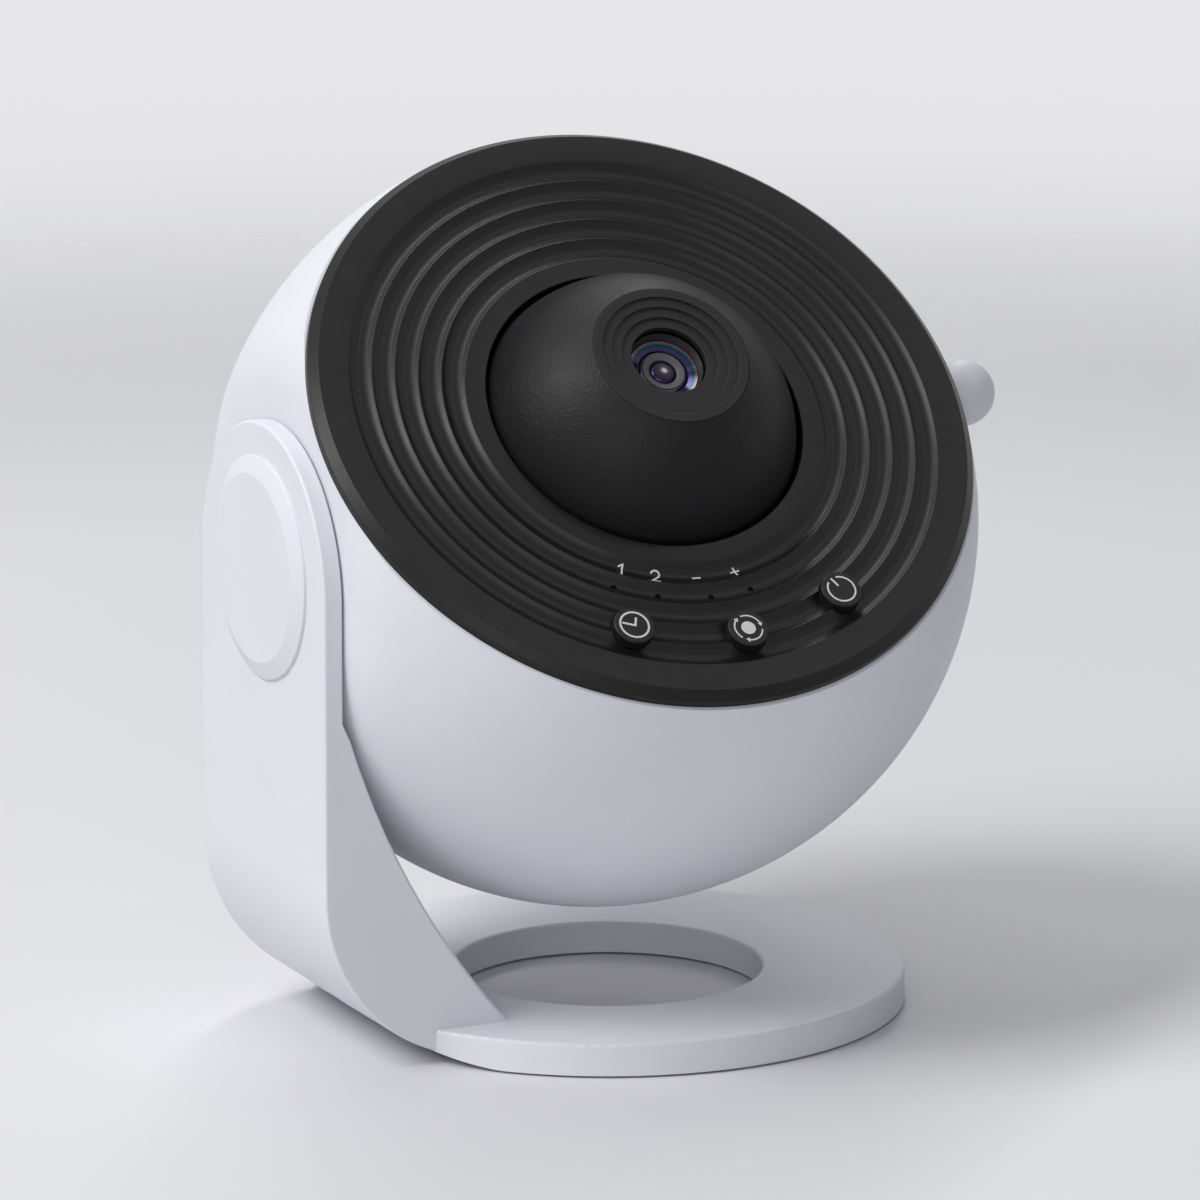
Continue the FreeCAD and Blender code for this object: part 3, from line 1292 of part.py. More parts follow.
def involute_point(base_radius, radius, offset, side):
    roll = math.sqrt(max(radius * radius - base_radius * base_radius, 0.0)) / base_radius
    angle = offset - side * (roll - math.atan(roll))
    return Vector(radius * math.cos(angle), radius * math.sin(angle), 0)


FLANK_COUNT = 4


def gear_solid(tooth_size, tooth_count, wheel_width):
    """A spur wheel on Z from height 0 upwards, with a tooth on the X axis."""
    module = tooth_size.value
    teeth = int(tooth_count.value)
    pitch_radius = module * teeth / 2.0
    slant = math.radians(s.pressure_angle.value)
    base_radius = pitch_radius * math.cos(slant)
    tip_radius = pitch_radius + module * s.wheel_addendum.value
    foot_radius = pitch_radius - module * s.wheel_dedendum.value
    start_radius = max(base_radius, foot_radius)
    half_tooth = math.pi / (2 * teeth) - s.tooth_play.value / (2 * pitch_radius)
    half_base = half_tooth + math.tan(slant) - slant
    step = (tip_radius - start_radius) / (FLANK_COUNT - 1)
    radii = [start_radius + step * number for number in range(FLANK_COUNT)]
    edges = []
    for tooth in range(teeth):
        middle = 2 * math.pi * tooth / teeth
        rising = [involute_point(base_radius, radius, middle - half_base, -1)
                  for radius in radii]
        falling = [involute_point(base_radius, radius, middle + half_base, 1)
                   for radius in radii]
        next_angle = middle + 2 * math.pi / teeth
        next_rising = involute_point(base_radius, radii[0], next_angle - half_base, -1)
        edges += tooth_edges(rising, falling, next_rising, foot_radius)
    face = Part.Face(Part.Wire(edges))
    return face.extrude(Vector(0, 0, wheel_width.value))


def tooth_edges(rising, falling, next_rising, foot_radius):
    """Edges from the foot of one tooth over its tip to the foot of the next."""
    tip_middle = (rising[-1] + falling[-1]) / 2.0
    tip_middle = tip_middle * (rising[-1].Length / tip_middle.Length)
    foot_start = rising[0] * (foot_radius / rising[0].Length)
    foot_end = falling[0] * (foot_radius / falling[0].Length)
    next_foot = next_rising * (foot_radius / next_rising.Length)
    root_middle = (foot_end + next_foot) / 2.0
    root_middle = root_middle * (foot_radius / root_middle.Length)
    edges = []
    if foot_start.distanceToPoint(rising[0]) > 1e-6:
        edges.append(Part.LineSegment(foot_start, rising[0]).toShape())
    edges.append(spline_edge(rising))
    edges.append(Part.Arc(rising[-1], tip_middle, falling[-1]).toShape())
    edges.append(spline_edge(falling[::-1]))
    if foot_end.distanceToPoint(falling[0]) > 1e-6:
        edges.append(Part.LineSegment(falling[0], foot_end).toShape())
    edges.append(Part.Arc(foot_end, root_middle, next_foot).toShape())
    return edges


def spline_edge(points):
    curve = Part.BSplineCurve()
    curve.interpolate(points)
    return curve.toShape()


def new_shape_piece(name, shape, frame):
    piece = document.addObject("Part::Feature", name)
    piece.Label = name
    piece.Shape = shape
    piece.setExpression("Placement", frame)
    PIECES.append(piece)
    return piece


def upright_cylinder(radius, low, high):
    return Part.makeCylinder(radius.value, high.value - low.value,
                             Vector(0, 0, low.value))


# --------------------------------------------------------------------------
# Focus drive
# --------------------------------------------------------------------------


def make_focus_drive():
    shaft_end = KNOB_OFFSET + s.shaft_radius
    rod("focus_shaft", FOCUS, s.shaft_radius, s.shaft_inner_end, shaft_end)
    turned_piece(
        "focus_knob", FOCUS,
        (s.shaft_radius, NECK_START), (s.neck_radius, NECK_START),
        (s.neck_radius, NECK_END),
        (0, KNOB_OFFSET + s.knob_radius, 0, KNOB_OFFSET, 1),
        (0, shaft_end), (s.shaft_radius, shaft_end))
    half = s.pinion_width / 2.0
    wheel = gear_solid(s.rack_module, s.pinion_teeth, s.pinion_width)
    wheel.translate(Vector(0, 0, -half.value))
    bore = upright_cylinder(s.shaft_radius, -half, half)
    new_shape_piece("focus_pinion", wheel.cut(bore), FOCUS)


# --------------------------------------------------------------------------
# Lens deck and lamp frame
# --------------------------------------------------------------------------

BEARING_INNER = s.pinion_width / 2.0 + s.clear_gap
BEARING_SIDE = s.shaft_radius + s.running_fit + s.bearing_wall


def make_lens_deck():
    body = new_body("lens_deck", HEAD)
    pad(body, "deck_disc", "XY_Plane", ring(DECK_RADIUS, s.barrel_radius + s.deck_hole_gap),
        DECK_BOTTOM, s.deck_thickness)
    reach = BOSS_CIRCLE
    middle = DECK_RADIUS - s.boss_radius
    arms = [
        pad(body, "deck_arm", "XY_Plane",
            outline(*tongue(reach, middle, s.boss_radius, s.boss_angle)),
            DECK_BOTTOM, s.deck_thickness),
        cut(body, "deck_arm_hole", "XY_Plane",
            circles((polar(BOSS_CIRCLE, s.boss_angle), SCREW_HOLE)),
            DECK_BOTTOM, s.deck_thickness)]
    repeat_round(body, "deck_arms", arms, s.boss_count)
    hole = cut(body, "deck_leg_hole", "XY_Plane",
               circles((polar(s.leg_circle, s.leg_angle), SCREW_HOLE)),
               DECK_BOTTOM, s.deck_thickness)
    repeat_round(body, "deck_leg_holes", [hole], s.leg_count)
    mount_hole = cut(body, "deck_mount_hole", "XY_Plane",
                     circles((polar(MOUNT_SCREW_CIRCLE, 0.0), SCREW_HOLE)),
                     DECK_BOTTOM, s.deck_thickness)
    repeat_round(body, "deck_mount_holes", [mount_hole], s.mount_screw_count)
    low = SHAFT_LEVEL - BEARING_SIDE
    for name, start in (("inner_bearing", -BEARING_INNER - s.bearing_width),
                        ("outer_bearing", BEARING_INNER)):
        pad(body, name, "YZ_Plane",
            outline(*rectangle(SHAFT_RISE - BEARING_SIDE, SHAFT_RISE + BEARING_SIDE,
                               low, DECK_BOTTOM)), start, s.bearing_width)
    cut(body, "bearing_bore", "YZ_Plane",
        circles(((SHAFT_RISE, SHAFT_LEVEL), s.shaft_radius + s.running_fit)),
        -BEARING_INNER - 2.0 * s.bearing_width,
        2.0 * BEARING_INNER + 4.0 * s.bearing_width)


LAMP_DECK_BOTTOM = s.lamp_deck_top - s.lamp_deck_thickness
TRACK_BORE = s.hub_radius + s.running_fit
TRACK_OUTER = TRACK_BORE + s.track_width
FILM_SEAT = s.film_level - s.film_thickness
GEAR_BOTTOM = FILM_SEAT - s.seat_rise
GEAR_TOP = GEAR_BOTTOM + s.gear_width
TRACK_HEIGHT = GEAR_BOTTOM - s.track_air - s.hub_bottom


def make_lamp_frame():
    body = new_body("lamp_frame", HEAD)
    pad(body, "lamp_deck", "XY_Plane", ring(DECK_RADIUS, s.lamp_hole),
        LAMP_DECK_BOTTOM, s.lamp_deck_thickness)
    track_low = s.hub_bottom
    pad(body, "film_track", "XY_Plane", ring(TRACK_OUTER, TRACK_BORE),
        track_low, TRACK_HEIGHT)
    legs = [
        pad(body, "leg", "XY_Plane",
            circles((polar(s.leg_circle, s.leg_angle), s.leg_radius)),
            s.lamp_deck_top, DECK_BOTTOM - s.lamp_deck_top),
        pad(body, "spoke", "XY_Plane",
            outline(*tongue(s.leg_circle, TRACK_OUTER - s.track_width / 2.0,
                                s.leg_radius, s.leg_angle)),
            track_low, TRACK_HEIGHT),
        cut(body, "leg_hole", "XY_Plane",
            circles((polar(s.leg_circle, s.leg_angle), SCREW_HOLE)),
            DECK_BOTTOM - s.screw_bite, s.screw_bite)]
    repeat_round(body, "legs", legs, s.leg_count)
    holes = [(place, SCREW_HOLE) for place in lamp_screw_places()]
    cut(body, "lamp_screw_holes", "XY_Plane", circles(*holes),
        LAMP_DECK_BOTTOM, s.lamp_deck_thickness)
    cut(body, "motor_screw_holes", "XY_Plane",
        circles(*[(place, SCREW_HOLE) for place in MOTOR_EARS]),
        LAMP_DECK_BOTTOM, s.lamp_deck_thickness)


CARRIER_PITCH = s.gear_module * s.carrier_teeth / 2.0
MOTOR_PITCH = s.gear_module * s.motor_teeth / 2.0
MOTOR_PLACE = polar(CARRIER_PITCH + MOTOR_PITCH, s.motor_angle)
MOTOR_EAR_REACH = s.motor_radius + s.screw_head_radius
MOTOR_EARS = [
    (MOTOR_PLACE[0] + side * MOTOR_EAR_REACH * cosine(s.motor_angle + 90.0),
     MOTOR_PLACE[1] + side * MOTOR_EAR_REACH * sine(s.motor_angle + 90.0))
    for side in (1.0, -1.0)]

# --------------------------------------------------------------------------
# Lamp
# --------------------------------------------------------------------------

SINK_RADIUS = s.lamp_screw_circle - s.screw_head_radius - s.clear_gap


def lamp_screw_places():
    count = int(s.lamp_screw_count.value)
    return [polar(s.lamp_screw_circle, 360.0 * number / count) for number in range(count)]


def make_lamp():
    board_bottom = LAMP_DECK_BOTTOM - s.board_thickness
    body = new_body("led_board", HEAD)
    pad(body, "led_board_form", "XY_Plane",
        circles(((0, 0), s.lamp_screw_circle + s.led_board_rim)),
        board_bottom, s.board_thickness)
    holes = [(place, SCREW_HOLE) for place in lamp_screw_places()]
    cut(body, "led_board_holes", "XY_Plane", circles(*holes),
        board_bottom, s.board_thickness)

    body = new_body("projection_led", HEAD)
    half = s.led_side / 2.0
    pad(body, "led_form", "XY_Plane", outline(*rectangle(-half, half, -half, half)),
        LAMP_DECK_BOTTOM, s.led_height)

    wall_inner = s.condenser_radius + s.screw_fit
    wall_outer = wall_inner + s.holder_wall
    ledge = s.condenser_radius - s.condenser_ledge
    holder_top = s.condenser_level + s.condenser_edge + s.holder_lip
    turned_piece(
        "condenser_holder", HEAD,
        (ledge, s.lamp_deck_top), (wall_outer, s.lamp_deck_top),
        (wall_outer, holder_top), (wall_inner, holder_top),
        (wall_inner, s.condenser_level), (ledge, s.condenser_level))

    ball = cap_sphere(s.condenser_radius, s.condenser_crown)
    shoulder = s.condenser_level + s.condenser_edge
    top = shoulder + s.condenser_crown
    turned_piece(
        "condenser_lens", HEAD,
        (0, s.condenser_level), (s.condenser_radius, s.condenser_level),
        (s.condenser_radius, shoulder), (0, top, 0, top - ball, 1))

    body = new_body("heat_sink", HEAD)
    core_bottom = board_bottom - s.sink_core_height
    pad(body, "sink_form", "XY_Plane", circles(((0, 0), SINK_RADIUS)),
        core_bottom - s.fin_height, s.sink_core_height + s.fin_height)
    gaps = int(s.fin_count.value) - 1
    gap = (2.0 * SINK_RADIUS - s.fin_count * s.fin_thickness) / (s.fin_count - 1.0)
    slots = []
    for number in range(gaps):
        left = (-SINK_RADIUS + s.fin_thickness * float(number + 1)
                + gap * float(number))
        slots.append(rectangle(left, left + gap, -SINK_RADIUS, SINK_RADIUS))
    cut(body, "sink_slots", "XY_Plane", outlines(*slots),
        core_bottom - s.fin_height, s.fin_height)


# --------------------------------------------------------------------------
# Star film and its drive
# --------------------------------------------------------------------------

def make_film():
    wheel = gear_solid(s.gear_module, s.carrier_teeth, s.gear_width)
    wheel.translate(Vector(0, 0, GEAR_BOTTOM.value))
    hub = upright_cylinder(s.hub_radius, s.hub_bottom, GEAR_BOTTOM)
    seat = upright_cylinder(s.film_radius + s.screw_fit, FILM_SEAT, GEAR_TOP)
    window = upright_cylinder(s.film_radius - s.carrier_ledge, s.hub_bottom, FILM_SEAT)
    carrier = wheel.fuse(hub).cut(seat).cut(window).removeSplitter()
    new_shape_piece("film_carrier", carrier, HEAD)
    rod("film_disc", HEAD, s.film_radius, FILM_SEAT, s.film_level)
    tube("film_clip", HEAD, s.film_radius - s.clip_width, s.film_radius,
         s.film_level, s.film_level + s.clip_height)


def make_motor():
    across, up = MOTOR_PLACE
    frame = frame_text((across, up, 0), angle=s.motor_angle, parent=HEAD)
    motor_top = s.lamp_deck_top + s.motor_height
    body = new_body("film_motor", frame)
    pad(body, "motor_can", "XY_Plane", circles(((0, 0), s.motor_radius)),
        s.lamp_deck_top, s.motor_height)
    ear = [pad(body, "motor_ear", "XY_Plane",
               outline(*tongue(MOTOR_EAR_REACH, s.motor_radius / 2.0,
                                   s.screw_head_radius, 90.0)),
               s.lamp_deck_top, s.ear_thickness),
           cut(body, "motor_ear_hole", "XY_Plane",
               circles((polar(MOTOR_EAR_REACH, 90.0), SCREW_HOLE)),
               s.lamp_deck_top, s.ear_thickness)]
    repeat_round(body, "motor_ears", ear, 2)
    shaft_bore = s.motor_shaft_radius + s.running_fit
    cut(body, "motor_bore", "XY_Plane", circles(((0, 0), shaft_bore)),
        motor_top - s.motor_height / 2.0, s.motor_height / 2.0)

    rod("motor_shaft", frame, s.motor_shaft_radius,
        motor_top - s.motor_height / 2.0 + s.clear_gap, GEAR_TOP + s.clear_gap)
    wheel = gear_solid(s.gear_module, s.motor_teeth, s.gear_width)
    half_pitch = 180.0 / s.motor_teeth.value
    wheel.rotate(Vector(0, 0, 0), Vector(0, 0, 1), half_pitch)
    wheel.translate(Vector(0, 0, GEAR_BOTTOM.value))
    bore = upright_cylinder(s.motor_shaft_radius, GEAR_BOTTOM, GEAR_TOP)
    new_shape_piece("motor_pinion", wheel.cut(bore), frame)


# --------------------------------------------------------------------------
# Electronics in the rear
# --------------------------------------------------------------------------


def make_rear_electronics():
    body = new_body("main_board", HEAD)
    pad(body, "main_board_form", "XY_Plane", circles(((0, 0), MAIN_BOARD_RADIUS)),
        BOARD_BOTTOM, s.board_thickness)
    hole = cut(body, "main_board_hole", "XY_Plane",
               circles((polar(BOARD_POST_CIRCLE, s.boss_angle), SCREW_HOLE)),
               BOARD_BOTTOM, s.board_thickness)
    repeat_round(body, "main_board_holes", [hole], s.boss_count)

    body = new_body("board_components", HEAD)
    top = s.main_board_level
    reach = MAIN_BOARD_RADIUS - s.component_margin
    chip = s.chip_side / 2.0
    driver = s.driver_length / 2.0
    connector = s.connector_length / 2.0
    pad(body, "chips", "XY_Plane", outlines(
        rectangle(-chip, chip, reach - s.chip_side, reach),
        rectangle(-reach, s.driver_width - reach, -driver, driver),
        rectangle(-connector, connector, -reach, s.connector_width - reach)),
        top, s.chip_height)
    middle = reach - s.capacitor_radius
    pad(body, "capacitors", "XY_Plane", circles(
        ((middle, 0.0), s.capacitor_radius),
        ((middle, s.capacitor_pitch), s.capacitor_radius)), top, s.capacitor_height)

    body = new_body("power_board", HEAD)
    board_low = USB_BOARD_TOP - s.board_thickness
    pad(body, "power_board_form", "XY_Plane",
        outline(*rectangle(-USB_BOARD_HALF, USB_BOARD_HALF, board_low, USB_BOARD_TOP)),
        USB_FACE + s.shell_wall + s.usb_sink, s.rail_length)

    body = new_body("usb_socket", HEAD)
    half = (s.usb_width - s.usb_height) / 2.0
    round_end = s.usb_height / 2.0
    inner = round_end - s.usb_wall
    middle = -s.usb_drop
    pad(body, "usb_can", "XY_Plane", outlines(
        stadium(half, round_end, middle), stadium(half, inner, middle)),
        USB_FACE, s.usb_depth)
    pad(body, "usb_back", "XY_Plane", outline(*stadium(half, round_end, middle)),
        USB_FACE + s.usb_depth, s.usb_wall)
    tongue_half = s.usb_wall
    pad(body, "usb_tongue", "XY_Plane", outline(*rectangle(
        -half, half, middle - tongue_half, middle + tongue_half)),
        USB_FACE + s.usb_tongue_sink, s.usb_depth - s.usb_tongue_sink)


def stadium(half, round_end, middle):
    low = middle - round_end
    high = middle + round_end
    return ((-half, low, -half, middle, 1), (half, low),
            (half, high, half, middle, 1), (-half, high))


# --------------------------------------------------------------------------
# Screws
# --------------------------------------------------------------------------


def make_screws():
    shell_seat = DECK_BOTTOM - s.boss_length
    screw_group("panel_screws", BOSS_CIRCLE, s.boss_angle, s.boss_count,
                shell_seat, s.deck_top + s.screw_bite)
    screw_group("cover_screws", COVER_BOSS_CIRCLE, s.boss_angle, s.boss_count,
                COVER_HEAD_SEAT, COVER_BOSS_BOTTOM + s.cover_boss_length)
    screw_group("frame_screws", s.leg_circle, s.leg_angle, s.leg_count,
                s.deck_top, DECK_BOTTOM - s.screw_bite + s.clear_gap)
    screw_group("mount_screws", MOUNT_SCREW_CIRCLE, 0.0, s.mount_screw_count,
                DECK_BOTTOM, s.deck_top + s.mount_flange)
    screw_group("board_screws", BOARD_POST_CIRCLE, s.boss_angle, s.boss_count,
                s.main_board_level, BOARD_BOTTOM - s.board_screw_bite + s.clear_gap)
    screw_group("lamp_screws", s.lamp_screw_circle, 0.0, s.lamp_screw_count,
                LAMP_DECK_BOTTOM - s.board_thickness, s.lamp_deck_top)
    across, up = MOTOR_PLACE
    frame = frame_text((across, up, 0), angle=s.motor_angle, parent=HEAD)
    screw_group("motor_screws", MOTOR_EAR_REACH, 90.0, 2,
                s.lamp_deck_top + s.ear_thickness, LAMP_DECK_BOTTOM + s.clear_gap, frame)


# --------------------------------------------------------------------------
# Build, check and write
# --------------------------------------------------------------------------


def build():
    make_stand()
    make_base_foot_pad()
    make_pivot_cap()
    make_pivot_bolt()
    make_pivot_stack()
    make_main_shell()
    make_rear_cover()
    make_bushes()
    make_front_panel()
    make_buttons()
    make_button_electronics()
    make_dome_cover()
    make_nose_ring()
    make_lens_mount()
    make_lens_sleeve()
    make_lens_barrel()
    make_lenses()
    make_focus_drive()
    make_lens_deck()
    make_lamp_frame()
    make_lamp()
    make_film()
    make_motor()
    make_rear_electronics()
    make_screws()
    document.recompute()


def check():
    for thing in document.Objects:
        if "Invalid" in thing.State or "Error" in thing.State:
            raise RuntimeError(f"{thing.Name} failed: {thing.State}")
    for feature in document.Objects:
        if feature.TypeId in ("PartDesign::Pocket", "PartDesign::Groove"):
            before = feature.BaseFeature.Shape.Volume
            if feature.Shape.Volume > before - 0.01:
                raise RuntimeError(f"{feature.Name} cuts nothing")
    for piece in PIECES:
        if piece.Shape.isNull() or not piece.Shape.isValid():
            raise RuntimeError(f"{piece.Label} has no valid shape")


def write():
    os.makedirs("parts", exist_ok=True)
    for piece in PIECES:
        piece.Shape.exportStep(f"parts/{piece.Label}.step")


build()
check()
write()
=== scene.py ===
import json
import math

import bmesh
import bpy
import numpy as np
from mathutils import Matrix, Vector


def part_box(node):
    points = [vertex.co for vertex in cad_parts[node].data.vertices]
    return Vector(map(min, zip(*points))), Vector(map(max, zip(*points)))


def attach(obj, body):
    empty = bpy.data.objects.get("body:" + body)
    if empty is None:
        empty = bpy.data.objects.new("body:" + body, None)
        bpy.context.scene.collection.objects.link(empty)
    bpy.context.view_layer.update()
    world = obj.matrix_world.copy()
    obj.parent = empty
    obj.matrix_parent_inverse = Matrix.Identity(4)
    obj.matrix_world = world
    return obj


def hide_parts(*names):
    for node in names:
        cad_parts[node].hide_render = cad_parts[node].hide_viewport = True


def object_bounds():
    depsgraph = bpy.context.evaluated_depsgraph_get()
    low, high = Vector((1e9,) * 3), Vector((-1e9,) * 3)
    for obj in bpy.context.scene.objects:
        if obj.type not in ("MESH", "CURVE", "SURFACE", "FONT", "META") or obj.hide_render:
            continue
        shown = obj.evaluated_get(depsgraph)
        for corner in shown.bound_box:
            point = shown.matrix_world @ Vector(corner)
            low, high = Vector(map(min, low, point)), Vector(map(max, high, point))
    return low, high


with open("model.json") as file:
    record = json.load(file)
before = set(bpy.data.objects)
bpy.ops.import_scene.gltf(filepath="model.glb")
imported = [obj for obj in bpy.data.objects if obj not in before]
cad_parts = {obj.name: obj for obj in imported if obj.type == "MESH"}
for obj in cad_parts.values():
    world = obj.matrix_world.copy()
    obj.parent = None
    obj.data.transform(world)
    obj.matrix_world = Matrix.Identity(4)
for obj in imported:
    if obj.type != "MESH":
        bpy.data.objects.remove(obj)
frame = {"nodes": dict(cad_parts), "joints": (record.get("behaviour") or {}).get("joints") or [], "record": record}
cad_low, cad_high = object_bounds()

MM = 0.001
NODES = frame["nodes"]
JOINTS = {joint["name"]: joint for joint in frame["joints"]}

# --------------------------------------------------------------------------
# Axes
# --------------------------------------------------------------------------

BALL_CENTRE = Vector(JOINTS["dome_twist"]["pos_m"])
LENS_AXIS = Vector(JOINTS["dome_twist"]["axis"]).normalized()
ACROSS = Vector((1, 0, 0))
UP_PANEL = LENS_AXIS.cross(ACROSS)


def axes_matrix(origin, x, y, z):
    """A matrix that carries the plain axes to the given origin and axes."""
    turn = Matrix((x, y, z)).transposed().to_4x4()
    return Matrix.Translation(origin) @ turn


# the head's own axes: x across, y up the panel, z along the lens
HEAD = axes_matrix(BALL_CENTRE, ACROSS, UP_PANEL, LENS_AXIS)
# the focus shaft's axes: z out of the ball towards the knob
FOCUS = axes_matrix(Vector(JOINTS["focus_turn"]["pos_m"]),
                    Vector((0, 1, 0)), Vector((0, 0, 1)), ACROSS)


def on_head(across, up, height=0.0):
    """The head's axes moved to a place on the panel.

    Its y axis points towards the panel's middle.
    """
    up_to_middle = Vector((-across, -up, 0)).normalized()
    right = Vector((up_to_middle.y, -up_to_middle.x, 0))
    spot = axes_matrix(Vector((across, up, height)) * MM, right, up_to_middle,
                       Vector((0, 0, 1)))
    return HEAD @ spot


# --------------------------------------------------------------------------
# Sizes in millimetres, in the head's axes
# --------------------------------------------------------------------------

# ball shell
BALL, WALL = 65.0, 2.2
ARM_FLAT, FLAT_BLEND = 56.2, 20.0
MOUTH, SEAM = 29.07, -43.0
PIVOT_HOLE = 11.05
KNOB_HOLE, KNOB_UP, KNOB_LEVEL = 3.6, 11.5, 9.2

# front panel
PANEL_RIM, PANEL_FACE, PANEL_CHAMFER = 57.597, 32.0, 1.5
PLATE_BOTTOM, PANEL_HOLE = 29.4, 27.3
SPIGOT_OUTER, SPIGOT_INNER, SPIGOT_BOTTOM = 55.37, 53.77, 25.87
GROOVE_START, GROOVE_PITCH, GROOVE_COUNT, GROOVE_DEPTH = 31.0, 3.9994, 5, 0.9
GROOVE_BOW = (GROOVE_PITCH ** 2 / 4 + GROOVE_DEPTH ** 2) / (2 * GROOVE_DEPTH)

# dome and nose ring
DOME, DOME_CENTRE, DOME_WALL = 27.7, 23.3, 2.0
SKIRT, SKIRT_BOTTOM = 26.9, 16.6
NOSE_FACE, NOSE_SEAT, NOSE_RIM = 47.57, 45.17, 47.487
NOSE_RADIUS, NOSE_BORE, NOSE_OPENING = 13.4, 13.5, 6.5
LEDGE_RADIUS, LEDGE_BOTTOM = 10.8, 43.57

# buttons and light holes
BUTTON, BUTTON_HOLE, BUTTON_TOP = 3.5, 3.6, 33.3
BUTTON_FLANGE, FLANGE_TOP, FLANGE_BOTTOM = 4.4, 29.1, 28.1
LIGHT_CIRCLE, LIGHT_HOLE = 37.4, 0.55
LIGHT_GAP_DEGREES = 2.0

# how far a cutter stands out of the wall that it cuts
CLEAR = 1.0


def node_points(node, place):
    """The node's vertices in millimetres in the given axes."""
    mesh = NODES[node].data
    points = np.empty(len(mesh.vertices) * 3)
    mesh.vertices.foreach_get("co", points)
    back = np.array(place.inverted())
    return (points.reshape(-1, 3) @ back[:3, :3].T + back[:3, 3]) / MM


BUTTON_PLACES = {}
for key in ("timer", "rotation", "power"):
    points = node_points(key + "_button", HEAD)
    BUTTON_PLACES[key] = tuple((points.min(axis=0) + points.max(axis=0))[:2] / 2)

light_points = node_points("indicator_lights", HEAD)
light_groups = []
for turn in sorted(np.degrees(np.arctan2(light_points[:, 1], light_points[:, 0]))):
    if not light_groups or turn - light_groups[-1][-1] > LIGHT_GAP_DEGREES:
        light_groups.append([turn])
    else:
        light_groups[-1].append(turn)
LIGHT_TURNS = [(group[0] + group[-1]) / 2 for group in light_groups]

# --------------------------------------------------------------------------
# Mesh helpers: points in millimetres, in the axes that each piece is given
# --------------------------------------------------------------------------

SHARP_DEGREES = 32.0
# share of a corner's radius at which a rounded corner gets one point more
CORNER_EASE = 0.4
ON_AXIS = 1e-6
# vertices of a node nearer than this are one
WELD = 0.002
# cosine between two faces that count as one face
SAME_FACE = 0.98


def new_piece(name, verts, faces, place, sharp=SHARP_DEGREES):
    """An object with these points, in millimetres and in the place's axes."""
    mesh = bpy.data.meshes.new(name)
    mesh.from_pydata([tuple(place @ (Vector(v) * MM)) for v in verts], [], faces)
    build = bmesh.new()
    build.from_mesh(mesh)
    bmesh.ops.recalc_face_normals(build, faces=build.faces)
    build.to_mesh(mesh)
    build.free()
    piece = bpy.data.objects.new(name, mesh)
    bpy.context.scene.collection.objects.link(piece)
    soften(piece, sharp)
    return piece


def soften(piece, sharp=SHARP_DEGREES):
    """Smooth shading, with edges sharp above an angle in degrees."""
    mesh = piece.data
    mesh.polygons.foreach_set("use_smooth", [True] * len(mesh.polygons))
    mesh.set_sharp_from_angle(angle=math.radians(sharp))


def rounded(corners, steps=4):
    """A closed outline of (radius, height) corners.

    A third number is the radius that rounds the corner.
    """
    outline = []
    count = len(corners)
    for number, corner in enumerate(corners):
        here = Vector(corner[:2])
        if len(corner) < 3:
            outline.append(tuple(here))
            continue
        size = corner[2]
        before = (Vector(corners[number - 1][:2]) - here).normalized()
        after = (Vector(corners[(number + 1) % count][:2]) - here).normalized()
        half = math.acos(max(-1.0, min(1.0, before.dot(after)))) / 2
        reach = size / math.tan(half)
        middle = here + (before + after).normalized() * (size / math.sin(half))
        start = here + before * reach
        end = here + after * reach
        outline.append(tuple(here + before * (reach + size * CORNER_EASE)))
        first, last = start - middle, end - middle
        sweep = first.angle_signed(last)
        for step in range(steps + 1):
            arm = first.copy()
            arm.rotate(Matrix.Rotation(-sweep * step / steps, 2))
            outline.append(tuple(middle + arm))
        outline.append(tuple(here + after * (reach + size * CORNER_EASE)))
    return outline


def arc(middle, radius, start, end, steps):
    """Points of an arc, with angles in degrees from the first axis to the second."""
    turns = [math.radians(start + (end - start) * n / steps) for n in range(steps + 1)]
    return [(middle[0] + radius * math.cos(t), middle[1] + radius * math.sin(t))
            for t in turns]


def lathe(name, outline, place, count=192, sharp=SHARP_DEGREES):
    """A closed outline of (radius, height) points turned about z."""
    verts, rows = [], []
    for radius, height in outline:
        if radius < ON_AXIS:
            rows.append([len(verts)] * count)
            verts.append((0.0, 0.0, height))
            continue
        rows.append(list(range(len(verts), len(verts) + count)))
        for step in range(count):
            turn = 2 * math.pi * step / count
            verts.append((radius * math.cos(turn), radius * math.sin(turn), height))
    faces = []
    for number, row in enumerate(rows):
        following = rows[(number + 1) % len(rows)]
        if row[0] == row[1] and following[0] == following[1]:
            continue
        for step in range(count):
            after = (step + 1) % count
            corners = (row[step], row[after], following[after], following[step])
            face = tuple(dict.fromkeys(corners))
            if len(face) > 2:
                faces.append(face)
    return new_piece(name, verts, faces, place, sharp)


def bake_modifiers(piece):
    """Put the mesh that the modifiers make in the place of the piece's own."""
    bpy.context.view_layer.update()
    seen = piece.evaluated_get(bpy.context.evaluated_depsgraph_get())
    mesh = bpy.data.meshes.new_from_object(seen)
    piece.modifiers.clear()
    old = piece.data
    piece.data = mesh
    bpy.data.meshes.remove(old)
    mesh.name = piece.name


def drill(piece, *cutters):
    """Cut the cutters out of the piece, and take the cutters away."""
    for cutter in cutters:
        step = piece.modifiers.new("drill", "BOOLEAN")
        step.operation = "DIFFERENCE"
        step.solver = "EXACT"
        step.object = cutter
    bake_modifiers(piece)
    for cutter in cutters:
        bpy.data.objects.remove(cutter)
    soften(piece)


